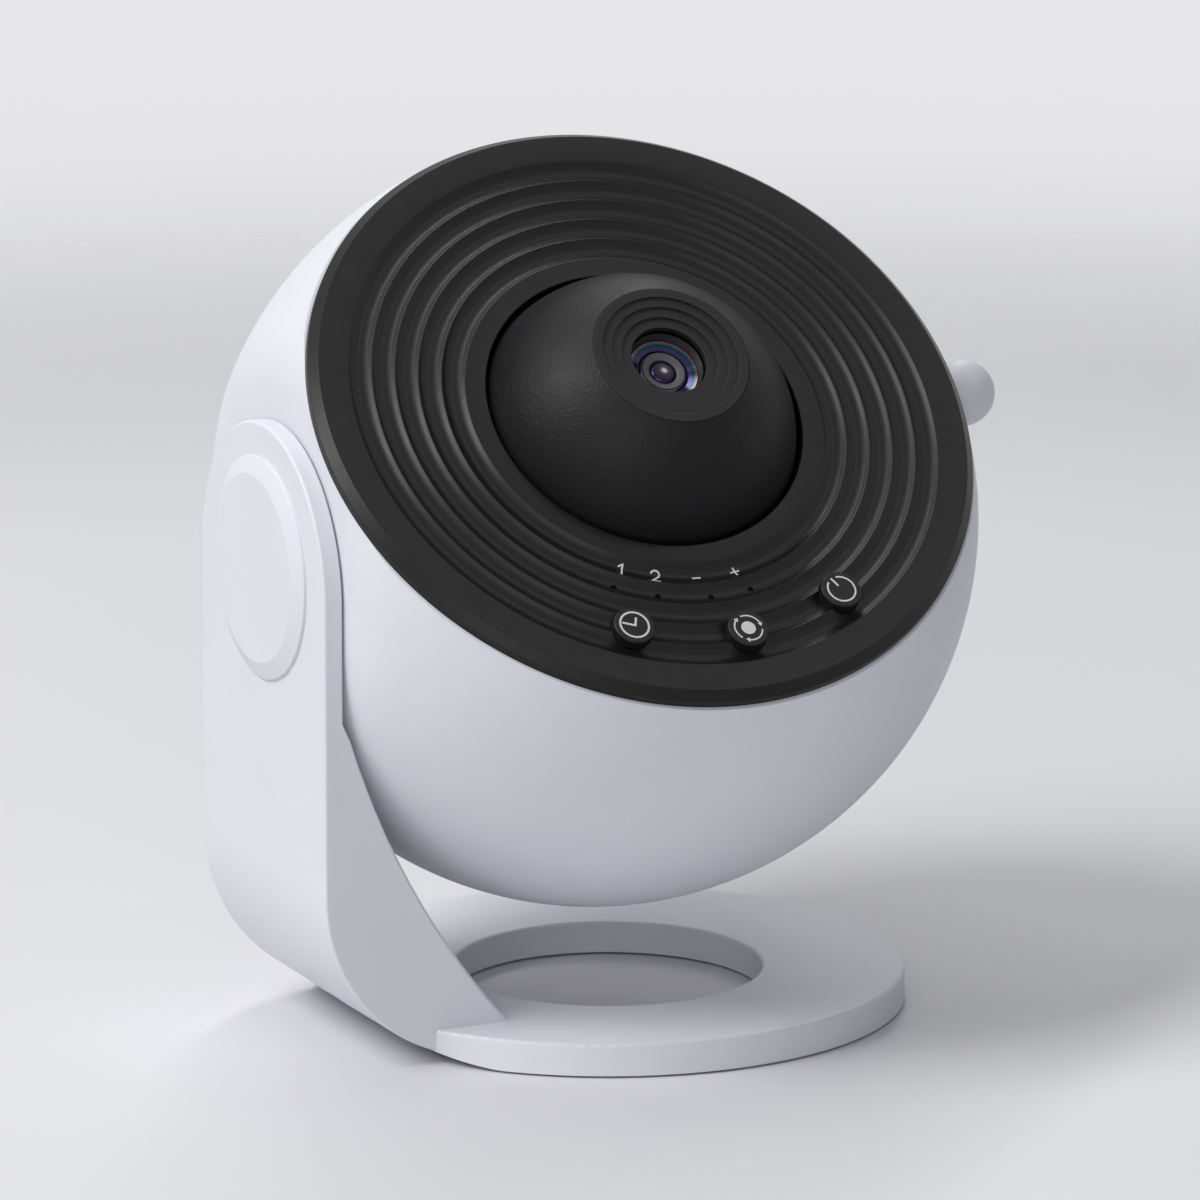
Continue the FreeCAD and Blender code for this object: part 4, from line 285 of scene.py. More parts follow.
def keep_shading(mesh, source):
    """Give the corners that a cut left alone the normals of the source.

    A new corner of a face that was cut takes the mean of the face's kept ones.
    """
    def micrometres(data, corner):
        spot = data.vertices[data.loops[corner].vertex_index].co
        return tuple(round(value * 1e6) for value in spot)

    known = {}
    for polygon in source.polygons:
        for corner in polygon.loop_indices:
            normal = source.corner_normals[corner].vector.copy()
            known.setdefault(micrometres(source, corner), []).append(
                (polygon.normal.copy(), normal))
    normals = [corner.vector.copy() for corner in mesh.corner_normals]
    for polygon in mesh.polygons:
        kept, new = [], []
        for corner in polygon.loop_indices:
            match = max(known.get(micrometres(mesh, corner), ()),
                        key=lambda pair: pair[0].dot(polygon.normal), default=None)
            if match and match[0].dot(polygon.normal) > SAME_FACE:
                normals[corner] = match[1]
                kept.append(match[1])
            else:
                new.append(corner)
        if kept:
            for corner in new:
                normals[corner] = sum(kept, Vector()).normalized()
    mesh.normals_split_custom_set(normals)


def node_copy(name, node, *cutters):
    """The node's shape as a new piece, with the cutters cut out of it."""
    mesh = NODES[node].data.copy()
    mesh.name = name
    build = bmesh.new()
    build.from_mesh(mesh)
    bmesh.ops.remove_doubles(build, verts=build.verts, dist=WELD * MM)
    bmesh.ops.recalc_face_normals(build, faces=build.faces)
    build.to_mesh(mesh)
    build.free()
    piece = bpy.data.objects.new(name, mesh)
    bpy.context.scene.collection.objects.link(piece)
    drill(piece, *cutters)
    shading = piece.modifiers.new("even_shading", "WEIGHTED_NORMAL")
    shading.keep_sharp = True
    bake_modifiers(piece)
    if cutters:
        keep_shading(piece.data, NODES[node].data)
    return piece


def drill_rod(radius, low, high, place, count=48):
    """A round cutter along the place's z axis."""
    outline = [(0, low), (radius, low), (radius, high), (0, high)]
    return lathe("drill_rod", outline, place, count)


# --------------------------------------------------------------------------
# Materials
# --------------------------------------------------------------------------

# edge wear and painted edge highlight: edges are painted lighter, partly as wear and
# partly as a painted highlight where light catches them; how far from an edge it
# reaches, in millimetres, the cosine between the rounded and the true normal at
# which it starts and is full, and how much lighter it is
WEAR_AND_HIGHLIGHT_REACH = 0.22
WEAR_AND_HIGHLIGHT_START, WEAR_AND_HIGHLIGHT_FULL = 0.995, 0.88
WEAR_AND_HIGHLIGHT_GAIN, WEAR_AND_HIGHLIGHT_LIFT = 1.6, 0.02
# the part of the noise's range over which the colour changes, and the size of
# the glossy spots as a share of the colour's
MOTTLE_FROM, MOTTLE_TO, GLOSS_SPOTS = 0.3, 0.7, 0.6
# the lowest roughness that such a spot may have
GLOSSIEST = 0.02


def grey(level, blue=0.0):
    """Linear colour of an 8-bit grey, with a little more blue."""
    def linear(value):
        value = value / 255
        return value / 12.92 if value < 0.04045 else ((value + 0.055) / 1.055) ** 2.4
    return (linear(level), linear(level), linear(level + blue), 1.0)


def brighter(colour, gain, lift=0.0):
    """The colour times the gain, plus the lift, at most white."""
    return tuple(min(1.0, c * gain + lift) for c in colour[:3]) + (1.0,)


def fill(node, inputs):
    """Give each input its value, or link it to the output given for it."""
    for key, value in inputs.items():
        if isinstance(value, bpy.types.NodeSocket):
            node.id_data.links.new(value, node.inputs[key])
        else:
            node.inputs[key].default_value = value


def add_node(tree, kind, inputs=None, **settings):
    """A new shader node with these settings and inputs."""
    node = tree.nodes.new("ShaderNode" + kind)
    for setting, value in settings.items():
        setattr(node, setting, value)
    fill(node, inputs or {})
    return node


def surface(name, colour, rough, metal=0.0, specular=0.5, mottle=0.04,
            mottle_size=6.0, grain_size=0.35, grain_depth=0.01, leather=False,
            rough_change=0.06, edge_wear_and_highlight=0.0, transmission=0.0, ior=1.5, film=0.0,
            brushed=0.0):
    """A procedural material.

    Sizes are in millimetres on the object, and the film's thickness is in
    nanometres.
    """
    material = bpy.data.materials.new(name)
    material.use_nodes = True
    tree = material.node_tree
    shader = tree.nodes["Principled BSDF"]
    fill(shader, {"Metallic": metal, "Specular IOR Level": specular, "IOR": ior,
                  "Transmission Weight": transmission, "Thin Film Thickness": film})

    place = add_node(tree, "TexCoord").outputs["Object"]
    if brushed:
        squeeze = add_node(tree, "Mapping", {"Scale": (1, 1, brushed), "Vector": place})
        place = squeeze.outputs["Vector"]

    def noise(size, detail=3.0):
        return add_node(tree, "TexNoise", {"Scale": 1 / (size * MM), "Detail": detail,
                                           "Vector": place}).outputs["Fac"]

    ramp = add_node(tree, "ValToRGB", {"Fac": noise(mottle_size)})
    for stop, at, change in ((0, MOTTLE_FROM, 1 - mottle), (1, MOTTLE_TO, 1 + mottle)):
        element = ramp.color_ramp.elements[stop]
        element.position = at
        element.color = brighter(colour, change)
    colour_out = ramp.outputs["Color"]

    # painted edge highlight and wear: every edge within reach is painted lighter
    if edge_wear_and_highlight:
        bevel = add_node(tree, "Bevel", {"Radius": WEAR_AND_HIGHLIGHT_REACH * MM}, samples=3)
        true_normal = add_node(tree, "NewGeometry").outputs["Normal"]
        facing = add_node(tree, "VectorMath", {
            0: bevel.outputs["Normal"], 1: true_normal}, operation="DOT_PRODUCT")
        pick = add_node(tree, "MapRange", {
            "From Min": WEAR_AND_HIGHLIGHT_START, "From Max": WEAR_AND_HIGHLIGHT_FULL, "To Max": edge_wear_and_highlight,
            "Value": facing.outputs["Value"]})
        mix = add_node(tree, "Mix", {"Factor": pick.outputs["Result"], "A": colour_out,
                                     "B": brighter(colour, WEAR_AND_HIGHLIGHT_GAIN, WEAR_AND_HIGHLIGHT_LIFT)},
                       data_type="RGBA")
        colour_out = mix.outputs["Result"]

    spread = add_node(tree, "MapRange", {
        "To Min": max(GLOSSIEST, rough - rough_change),
        "To Max": min(1.0, rough + rough_change),
        "Value": noise(mottle_size * GLOSS_SPOTS)})
    if leather:
        cells = add_node(tree, "TexVoronoi", {
            "Scale": 1 / (grain_size * MM), "Randomness": 1.0, "Vector": place},
            feature="SMOOTH_F1")
        relief = cells.outputs["Distance"]
    else:
        relief = noise(grain_size, 2.0)
    bump = add_node(tree, "Bump", {"Strength": 1.0, "Distance": grain_depth * MM,
                                   "Height": relief})
    fill(shader, {"Base Color": colour_out, "Roughness": spread.outputs["Result"],
                  "Normal": bump.outputs["Normal"]})
    return material


# the edge amounts below paint each material's edges lighter: partly wear, partly a painted highlight
WHITE = surface("white_satin", grey(221, 7), 0.42, specular=0.4, mottle=0.012,
                mottle_size=14.0, grain_size=0.25, grain_depth=0.004, edge_wear_and_highlight=0.15)
PANEL = surface("panel_black", grey(15, 1), 0.36, specular=0.24, mottle=0.06,
                grain_size=0.22, grain_depth=0.010, edge_wear_and_highlight=0.35)
DOME_BLACK = surface("dome_black", grey(11, 2), 0.5, specular=0.22, mottle=0.08,
                     grain_size=0.42, grain_depth=0.05, leather=True)
NOSE_BLACK = surface("nose_black", grey(24, 1), 0.58, specular=0.28, mottle=0.1,
                     grain_size=0.5, grain_depth=0.055, leather=True, edge_wear_and_highlight=0.6)
BUTTON_BLACK = surface("button_black", grey(20, 1), 0.42, specular=0.25, mottle=0.05,
                       grain_size=0.25, grain_depth=0.008, edge_wear_and_highlight=0.35)
INK = surface("white_ink", grey(205), 0.55, specular=0.3, mottle=0.05,
              mottle_size=0.8, grain_size=0.1, grain_depth=0.004)
INNER = surface("inner_black", grey(24), 0.55, specular=0.3, mottle=0.08,
                grain_size=0.4, grain_depth=0.01)
RUBBER = surface("rubber", grey(38), 0.85, specular=0.2, mottle=0.1,
                 grain_size=0.5, grain_depth=0.02)
STEEL = surface("zinc_steel", grey(175, 4), 0.3, metal=1.0, mottle=0.06,
                mottle_size=1.5, grain_size=0.15, grain_depth=0.004, edge_wear_and_highlight=0.3)
BRASS = surface("turned_brass", (0.62, 0.43, 0.17, 1.0), 0.28, metal=1.0, mottle=0.08,
                mottle_size=1.2, grain_size=0.12, grain_depth=0.003, edge_wear_and_highlight=0.3)
ALUMINIUM = surface("aluminium", grey(205, 3), 0.38, metal=1.0, mottle=0.05,
                    mottle_size=2.0, grain_size=0.12, grain_depth=0.004, brushed=6.0)
ACETAL = surface("acetal", (0.75, 0.73, 0.67, 1.0), 0.4, specular=0.4, mottle=0.03,
                 grain_size=0.4, grain_depth=0.004)
BOARD = surface("board_green", (0.015, 0.10, 0.045, 1.0), 0.32, mottle=0.12,
                mottle_size=2.5, grain_size=0.3, grain_depth=0.006)
BOARD_METAL = surface("board_white", grey(225), 0.45, mottle=0.03,
                      grain_size=0.3, grain_depth=0.004)
CHIP = surface("chip_black", grey(30), 0.5, mottle=0.1, mottle_size=1.0,
               grain_size=0.1, grain_depth=0.003)
LAMP = surface("phosphor", (0.85, 0.62, 0.08, 1.0), 0.5, mottle=0.05,
               mottle_size=0.6, grain_size=0.08, grain_depth=0.004)
GLASS = surface("coated_glass", (0.96, 0.97, 1.0, 1.0), 0.03, transmission=1.0,
                ior=1.2, mottle=0.01, grain_size=4.0, grain_depth=0.0005,
                rough_change=0.01, film=420.0)
FILM = surface("star_film", (0.05, 0.07, 0.2, 1.0), 0.12, transmission=0.4,
               mottle=0.3, mottle_size=1.2, grain_size=0.3, grain_depth=0.002)
SMOKE = surface("light_pipe", grey(3), 0.3, specular=0.03, mottle=0.05,
                mottle_size=0.4, grain_size=0.1, grain_depth=0.002)

SLOT_FINISH = {
    "white_shell": WHITE, "black_panel": PANEL, "black_grain": DOME_BLACK,
    "black_inner": INNER, "rubber": RUBBER, "steel": STEEL, "brass": BRASS,
    "aluminium": ALUMINIUM, "acetal": ACETAL, "lens_glass": GLASS,
    "film_glass": FILM, "board_green": BOARD, "board_metal": BOARD_METAL,
    "chip_black": CHIP, "lamp_yellow": LAMP, "light_pipe": SMOKE,
}


def finish_piece(piece, material, body, slot, *nodes):
    """Give the piece its material, its body and the CAD nodes that it stands for."""
    piece.data.materials.clear()
    piece.data.materials.append(material)
    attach(piece, body)
    if nodes:
        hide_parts(*nodes)


for subpart in frame["record"]["subparts"]:
    for slot in NODES[subpart["node"]].material_slots:
        slot.material = SLOT_FINISH[subpart["material_slot"]]

# --------------------------------------------------------------------------
# Ball shell
# --------------------------------------------------------------------------

# angles from the lens axis between which the shell lies, and how finely its
# surface is searched for the heights of its edges
SHELL_FROM, SHELL_TO, SHELL_SEARCH = 50, 140, 721
# soft edges: the mouth's outer lip, the thin inner edges and the parting line
LIP, EDGE, PARTING = 0.22, 0.12, 0.35
SHELL_SHARP = 40.0


def ball_reach(direction, wall):
    """Distance from the middle to the surface, wall millimetres inside the ball.

    Towards -x the ball is cut flat for the arm, with a rounded edge.
    """
    ball, flat, blend = BALL - wall, ARM_FLAT - wall, FLAT_BLEND - wall
    along = -direction[0]
    off = math.hypot(direction[1], direction[2])
    ring_along = flat - blend
    ring_off = math.sqrt((ball - blend) ** 2 - ring_along ** 2)
    turn = math.atan2(off, along)
    if turn < math.atan2(ring_off, flat):
        return flat / along
    if turn < math.atan2(ring_off, ring_along):
        reach = along * ring_along + off * ring_off
        return reach + math.sqrt(reach ** 2 - ring_along ** 2 - ring_off ** 2
                                 + blend ** 2)
    return ball


def meridian(turn, wall, low, high, steps):
    """Points (radius, height) of the shell's surface from low up to high."""
    tilts = np.linspace(math.radians(SHELL_FROM), math.radians(SHELL_TO), SHELL_SEARCH)
    reach = np.array([ball_reach((math.sin(t) * math.cos(turn),
                                  math.sin(t) * math.sin(turn), math.cos(t)), wall)
                      for t in tilts])
    heights = reach * np.cos(tilts)
    ends = np.interp((-low, -high), -heights, tilts)
    chosen = np.linspace(ends[0], ends[1], steps)
    spans = np.interp(chosen, tilts, reach)
    return [(span * math.sin(t), span * math.cos(t)) for span, t in zip(spans, chosen)]


def ball_shell(name, count=288, steps=96):
    """The ball as a closed wall from the panel's mouth down to the cover's seam."""
    verts = []
    for number in range(count):
        turn = 2 * math.pi * number / count
        outer = meridian(turn, 0.0, SEAM + PARTING, MOUTH - LIP, steps)
        inner = meridian(turn, WALL, SEAM + EDGE, MOUTH - EDGE, steps // 2)
        out_r, in_r = outer[-1][0], inner[-1][0]
        low_out, low_in = outer[0][0], inner[0][0]
        # the corners are broken at shares of the soft edges' sizes
        rim = [(out_r - LIP * 0.12, MOUTH - LIP * 0.45),
               (out_r - LIP * 0.55, MOUTH - LIP * 0.1),
               (out_r - LIP * 1.2, MOUTH), (in_r + EDGE * 1.5, MOUTH),
               (in_r + EDGE * 0.5, MOUTH - EDGE * 0.25)]
        foot = [(low_in + EDGE * 0.5, SEAM), (low_out - PARTING * 1.7, SEAM)]
        for radius, height in outer + rim + inner[::-1] + foot:
            verts.append((radius * math.cos(turn), radius * math.sin(turn), height))
    rows = len(verts) // count
    faces = []
    for number in range(count):
        here, after = number * rows, (number + 1) % count * rows
        for step in range(rows):
            following = (step + 1) % rows
            faces.append((here + step, after + step,
                          after + following, here + following))
    return new_piece(name, verts, faces, HEAD, SHELL_SHARP)


shell = ball_shell("ball_shell")
pivot_side = HEAD @ axes_matrix(Vector((0, 0, 0)), Vector((0, 0, 1)),
                                Vector((0, 1, 0)), Vector((-1, 0, 0)))
knob_side = HEAD @ axes_matrix(Vector((0, KNOB_UP, KNOB_LEVEL)) * MM,
                               Vector((0, 1, 0)), Vector((0, 0, 1)),
                               Vector((1, 0, 0)))
# the cutters' ends, as distances from the ball's middle
PIVOT_DRILL, KNOB_DRILL = (ARM_FLAT - 6, ARM_FLAT + 3), (BALL - 12, BALL + 2)
drill(shell, drill_rod(PIVOT_HOLE, *PIVOT_DRILL, pivot_side, 96),
      drill_rod(KNOB_HOLE, *KNOB_DRILL, knob_side))
finish_piece(shell, WHITE, "head", "white_shell", "main_shell")

# --------------------------------------------------------------------------
# Front panel with its ring grooves, button holes and light holes
# --------------------------------------------------------------------------

# half width of the blunted ridges between the grooves, and how much of it the
# ridge's middle stands above their edges
RIDGE, RIDGE_RISE = 0.10, 0.45
# where the flat face turns into a groove: two points that break the edge
BREAK_FLAT, BREAK_GROOVE, BREAK_DROP = 0.14, 0.04, 0.02
FOOT_SOFT, RIM_SOFT, HOLE_SOFT = 0.1, 0.18, 0.25


def groove_height(radius):
    """Height of the panel's surface at a distance from its middle."""
    place = (radius - GROOVE_START) / GROOVE_PITCH
    if not 0 < place < GROOVE_COUNT:
        return PANEL_FACE
    off = (place - math.floor(place) - 0.5) * GROOVE_PITCH
    bow_middle = PANEL_FACE + (GROOVE_BOW - GROOVE_DEPTH)
    return bow_middle - math.sqrt(GROOVE_BOW ** 2 - off ** 2)


def grooved_face(steps=12):
    """The grooves from the outermost in, with slightly blunted ridges between."""
    points = []
    for number in reversed(range(GROOVE_COUNT)):
        left = GROOVE_START + number * GROOVE_PITCH
        for step in range(steps + 1):
            radius = (left + GROOVE_PITCH - RIDGE
                      - (GROOVE_PITCH - 2 * RIDGE) * step / steps)
            points.append((radius, groove_height(radius)))
        if number:
            blunt = groove_height(left + RIDGE)
            points.append((left, blunt + RIDGE * RIDGE_RISE))
    return points


face_rim = PANEL_RIM - PANEL_CHAMFER
outer_groove = GROOVE_START + GROOVE_COUNT * GROOVE_PITCH
panel_outline = rounded([
    (PANEL_HOLE, PLATE_BOTTOM), (SPIGOT_INNER, PLATE_BOTTOM),
    (SPIGOT_INNER, SPIGOT_BOTTOM), (SPIGOT_OUTER, SPIGOT_BOTTOM),
    (SPIGOT_OUTER, MOUTH), (PANEL_RIM, MOUTH, FOOT_SOFT),
    (PANEL_RIM, PANEL_FACE - PANEL_CHAMFER, RIM_SOFT), (face_rim, PANEL_FACE, RIM_SOFT),
    (outer_groove + BREAK_FLAT, PANEL_FACE),
    (outer_groove + BREAK_GROOVE, PANEL_FACE - BREAK_DROP)]
    + grooved_face()
    + [(GROOVE_START - BREAK_GROOVE, PANEL_FACE - BREAK_DROP),
       (GROOVE_START - BREAK_FLAT, PANEL_FACE), (PANEL_HOLE, PANEL_FACE, HOLE_SOFT)])
panel = lathe("ribbed_panel", panel_outline, HEAD, 288)
face_radii, face_heights = zip(*reversed(grooved_face()))


def face_height(radius):
    """Height of the modelled face, with its blunted ridges."""
    return float(np.interp(radius, face_radii, face_heights,
                           left=PANEL_FACE, right=PANEL_FACE))


def panel_drill(radius, place, count):
    """A cutter through the panel at a place on it."""
    return drill_rod(radius, PLATE_BOTTOM - CLEAR, PANEL_FACE + CLEAR,
                     on_head(*place), count)


def on_circle(radius, turn):
    """The point at an angle in degrees on a circle about the panel's middle."""
    return radius * math.cos(math.radians(turn)), radius * math.sin(math.radians(turn))


drill(panel,
      *(panel_drill(BUTTON_HOLE, place, 64) for place in BUTTON_PLACES.values()),
      *(panel_drill(LIGHT_HOLE, on_circle(LIGHT_CIRCLE, turn), 24)
        for turn in LIGHT_TURNS))
finish_piece(panel, PANEL, "head", "black_panel", "front_panel")

# --------------------------------------------------------------------------
# Dome and nose ring
# --------------------------------------------------------------------------

DOME_SHARP, SKIRT_SOFT = 40.0, 0.3
# the dome's edge around the nose ring, broken by two points
RIM_BREAK, RIM_BREAK_DEPTH = 0.02, 0.08
STEP_HEIGHT, STEP_RADII = 0.45, (11.8, 10.1, 8.3)
STEP_SOFT, STEP_FOOT_SOFT = 0.07, 0.05
NOSE_SOFT, OPENING_SOFT, SEAT_SOFT = 0.12, 0.08, 0.1

skirt_turn = math.degrees(math.acos(SKIRT / DOME))
rim_turn = math.degrees(math.acos(NOSE_BORE / DOME))
inner_dome = DOME - DOME_WALL
inner_skirt = SKIRT - DOME_WALL
ledge_turn = math.degrees(math.asin((LEDGE_BOTTOM - DOME_CENTRE) / inner_dome))
inner_skirt_turn = math.degrees(math.acos(inner_skirt / inner_dome))
dome_outline = (
    rounded([(inner_skirt, SKIRT_BOTTOM), (SKIRT, SKIRT_BOTTOM, SKIRT_SOFT),
             (SKIRT, DOME_CENTRE + DOME * math.sin(math.radians(skirt_turn)))])
    + arc((0, DOME_CENTRE), DOME, skirt_turn, rim_turn, 72)[1:]
    + [(NOSE_BORE + RIM_BREAK, NOSE_RIM - RIM_BREAK),
       (NOSE_BORE, NOSE_RIM - RIM_BREAK_DEPTH), (NOSE_BORE, NOSE_SEAT),
       (LEDGE_RADIUS, NOSE_SEAT), (LEDGE_RADIUS, LEDGE_BOTTOM)]
    + arc((0, DOME_CENTRE), inner_dome, ledge_turn, inner_skirt_turn, 32))
dome = lathe("dome", dome_outline, HEAD, 256, DOME_SHARP)
finish_piece(dome, DOME_BLACK, "dome", "black_grain", "dome_cover")

nose_corners = [(NOSE_OPENING, NOSE_SEAT, SEAT_SOFT), (NOSE_RADIUS, NOSE_SEAT),
                (NOSE_RADIUS, NOSE_FACE, NOSE_SOFT)]
level = NOSE_FACE
for radius in STEP_RADII:
    nose_corners += [(radius, level, STEP_SOFT),
                     (radius, level - STEP_HEIGHT, STEP_FOOT_SOFT)]
    level -= STEP_HEIGHT
nose_corners.append((NOSE_OPENING, level, OPENING_SOFT))
nose = lathe("nose_ring_stepped", rounded(nose_corners), HEAD, 224)
finish_piece(nose, NOSE_BLACK, "dome", "black_panel", "nose_ring")

# --------------------------------------------------------------------------
# Lens: ribbed hood, coated bowl, iris and pupil
# --------------------------------------------------------------------------

HOOD_TOP, HOOD_BOTTOM, HOOD_LEDGE = 44.75, 41.8, 43.0
HOOD_OUTER, HOOD_INNER, RING_OUTER = 6.38, 5.92, 6.9
LEDGE_SOFT, HOOD_SOFT = 0.08, 0.06
# the hood's inner ribs: each is RIB_PITCH lower and RIB_INSET further in
RIB_COUNT, RIB_PITCH, RIB_INSET = 6, 0.26, 0.06
RIB_RADIUS, RIB_HEIGHT, RIB_SOFT = 6.26, 0.12, 0.03
RIB_GROOVE, RIB_GROOVE_DEPTH, HOOD_BREAK = 6.3, 0.16, 0.05

hood_outline = [(HOOD_INNER, HOOD_BOTTOM), (RING_OUTER, HOOD_BOTTOM),
                (RING_OUTER, HOOD_LEDGE, LEDGE_SOFT), (HOOD_OUTER, HOOD_LEDGE),
                (HOOD_OUTER, HOOD_TOP, HOOD_SOFT)]
for number in range(RIB_COUNT):
    height = HOOD_TOP - number * RIB_PITCH
    inset = RIB_INSET * number
    hood_outline += [(RIB_RADIUS - inset, height, RIB_SOFT),
                     (RIB_RADIUS - inset, height - RIB_HEIGHT),
                     (RIB_GROOVE - inset, height - RIB_GROOVE_DEPTH)]
hood_outline.append((HOOD_INNER, HOOD_TOP - RIB_COUNT * RIB_PITCH - HOOD_BREAK))
hood = lathe("lens_hood", rounded(hood_outline, 3), HEAD, 128)
finish_piece(hood, INNER, "lens_carriage", "black_inner", "front_lens_ring")


def coating_and_painted_reflection_rings(material, outer, rings):
    """Tint the gloss of a coated glass by the distance from the lens axis, and paint a faint share of the same
    tints into the base colour as painted reflection.

    The rings are (distance in millimetres, tint), and outer is the glass's radius.
    """
    tree = material.node_tree
    place = add_node(tree, "TexCoord").outputs["Object"]
    head = add_node(tree, "Mapping", {
        "Location": HEAD.to_translation(), "Rotation": HEAD.to_euler(),
        "Vector": place}, vector_type="TEXTURE")
    flat = add_node(tree, "VectorMath", {0: head.outputs["Vector"], 1: (1, 1, 0)},
                    operation="MULTIPLY")
    radius = add_node(tree, "VectorMath", {0: flat.outputs["Vector"]},
                      operation="LENGTH")
    share = add_node(tree, "MapRange", {"From Max": outer * MM,
                                        "Value": radius.outputs["Value"]})
    tint = add_node(tree, "ValToRGB", {"Fac": share.outputs["Result"]})
    while len(tint.color_ramp.elements) < len(rings):
        tint.color_ramp.elements.new(0.5)
    for element, (at, colour) in zip(tint.color_ramp.elements, rings):
        element.position = at / outer
        element.color = (*colour, 1.0)
    # painted reflection: a small share of the ring tints goes into the base colour, a faint painted copy of the
    # lens's coloured reflections and of the pupil's white glint
    base_with_painted_reflection = add_node(tree, "Mix", {"Factor": GLASS_DARK_SHARE, "A": tint.outputs["Color"],
                                 "B": GLASS_DARK}, data_type="RGBA")
    fill(tree.nodes["Principled BSDF"], {"Specular Tint": tint.outputs["Color"],
                                         "Base Color": base_with_painted_reflection.outputs["Result"]})


GLASS_DARK, GLASS_DARK_SHARE = (0.002, 0.004, 0.006, 1.0), 0.985
# the colours of the lens's reflections: they tint its gloss, and a faint share of them is painted into its base
# colour; the pupil's white middle is the colour of its glint
PALE, VIOLET, PURPLE = (0.75, 0.9, 1.0), (0.3, 0.25, 0.6), (0.42, 0.28, 1.0)
TEAL, PINK = (0.06, 0.42, 0.50), (0.85, 0.6, 0.8)
PUPIL_WHITE, PUPIL_PINK = (1.0, 0.95, 1.0), (0.6, 0.38, 0.6)
PUPIL_PLUM, PUPIL_NIGHT = (0.4, 0.25, 0.45), (0.2, 0.15, 0.4)
PUPIL_VIOLET = (0.4, 0.25, 1.0)
COATING = surface("lens_coating", (0.01, 0.02, 0.03, 1.0), 0.14, specular=0.5, ior=1.75,
                  grain_size=2.0, grain_depth=0.0005, rough_change=0.02)
coating_and_painted_reflection_rings(COATING, 5.9,
              [(3.55, PALE), (3.95, PALE), (4.05, VIOLET), (4.55, PURPLE),
               (4.9, PURPLE), (5.0, TEAL), (5.35, TEAL), (5.45, PINK), (5.8, PINK)])
LENS_GREY = surface("lens_grey", grey(84, 4), 0.35, specular=0.4, mottle=0.05,
                    mottle_size=1.0, grain_size=0.1, grain_depth=0.002)
PUPIL = surface("lens_pupil", (0.006, 0.005, 0.010, 1.0), 0.14, specular=0.5, ior=1.75,
                grain_size=2.0, grain_depth=0.0005, rough_change=0.01)
coating_and_painted_reflection_rings(PUPIL, 2.3,
              [(0.45, PUPIL_WHITE), (0.8, PUPIL_PINK), (1.5, PUPIL_PLUM),
               (1.9, PUPIL_NIGHT), (2.2, PUPIL_VIOLET)])

# the bowl falls from its edge to a valley and rises again to its inner edge
BOWL_OUTER, BOWL_EDGE, BOWL_TOP, BOWL_BACK = 5.88, 5.8, 43.3, 41.3
BOWL_SLOPE = math.tan(math.radians(28))
VALLEY, INNER_EDGE = 4.35, 3.72
BOWL_SOFT, VALLEY_SOFT = 0.03, 0.08
# where the iris and the pupil sit, down to the axis
BOWL_SEAT = [(3.6, 42.6), (3.4, 42.4), (0, 42.4)]
valley_low = BOWL_TOP - (BOWL_EDGE - VALLEY) * BOWL_SLOPE
inner_high = valley_low + (VALLEY - INNER_EDGE) * BOWL_SLOPE
bowl = lathe("lens_bowl", rounded([
    (0, BOWL_BACK), (BOWL_OUTER, BOWL_BACK), (BOWL_OUTER, BOWL_TOP, BOWL_SOFT),
    (BOWL_EDGE, BOWL_TOP, BOWL_SOFT), (VALLEY, valley_low, VALLEY_SOFT),
    (INNER_EDGE, inner_high, VALLEY_SOFT)] + BOWL_SEAT), HEAD, 160)
finish_piece(bowl, COATING, "lens_carriage", "lens_glass", "front_lens")

IRIS_OUTER, IRIS_BACK, IRIS_TOP, IRIS_HOLE, IRIS_SOFT = 3.62, 42.3, 43.0, 2.2, 0.06
# the soft corners from the iris's top down towards its hole
IRIS_FALL = [(2.75, 42.85, 0.05), (2.42, 42.7, 0.03)]
iris = lathe("lens_iris", rounded([
    (IRIS_HOLE, IRIS_BACK), (IRIS_OUTER, IRIS_BACK),
    (IRIS_OUTER, IRIS_TOP, IRIS_SOFT)] + IRIS_FALL), HEAD, 96)
finish_piece(iris, LENS_GREY, "lens_carriage", "black_inner")

PUPIL_EDGE, PUPIL_BOW, PUPIL_TOP, PUPIL_BACK = 2.45, 14.0, 43.25, 42.2
PUPIL_ROLL, PUPIL_STEPS = 0.62, 24
pupil_outline = [(0, PUPIL_BACK), (PUPIL_EDGE, PUPIL_BACK)]
for number in range(PUPIL_STEPS + 1):
    radius = PUPIL_EDGE * (1 - number / PUPIL_STEPS)
    drop = radius ** 2 / (2 * PUPIL_BOW) + PUPIL_ROLL * (radius / PUPIL_EDGE) ** 6
    pupil_outline.append((radius, PUPIL_TOP - drop))
pupil = lathe("lens_pupil", pupil_outline, HEAD, 96)
finish_piece(pupil, PUPIL, "lens_carriage", "lens_glass")

# --------------------------------------------------------------------------
# Buttons
# --------------------------------------------------------------------------

BUTTON_SOFT = 0.28
button_corners = [(0, FLANGE_BOTTOM), (BUTTON_FLANGE, FLANGE_BOTTOM),
                  (BUTTON_FLANGE, FLANGE_TOP), (BUTTON, FLANGE_TOP),
                  (BUTTON, BUTTON_TOP, BUTTON_SOFT), (0, BUTTON_TOP)]
for key, place in BUTTON_PLACES.items():
    button = lathe(key + "_key", rounded(button_corners, 6), on_head(*place), 96)
    finish_piece(button, BUTTON_BLACK, key + "_key", "black_panel", key + "_button")

# --------------------------------------------------------------------------
# Printed signs: closed strips of ink that follow the surface under them
# --------------------------------------------------------------------------

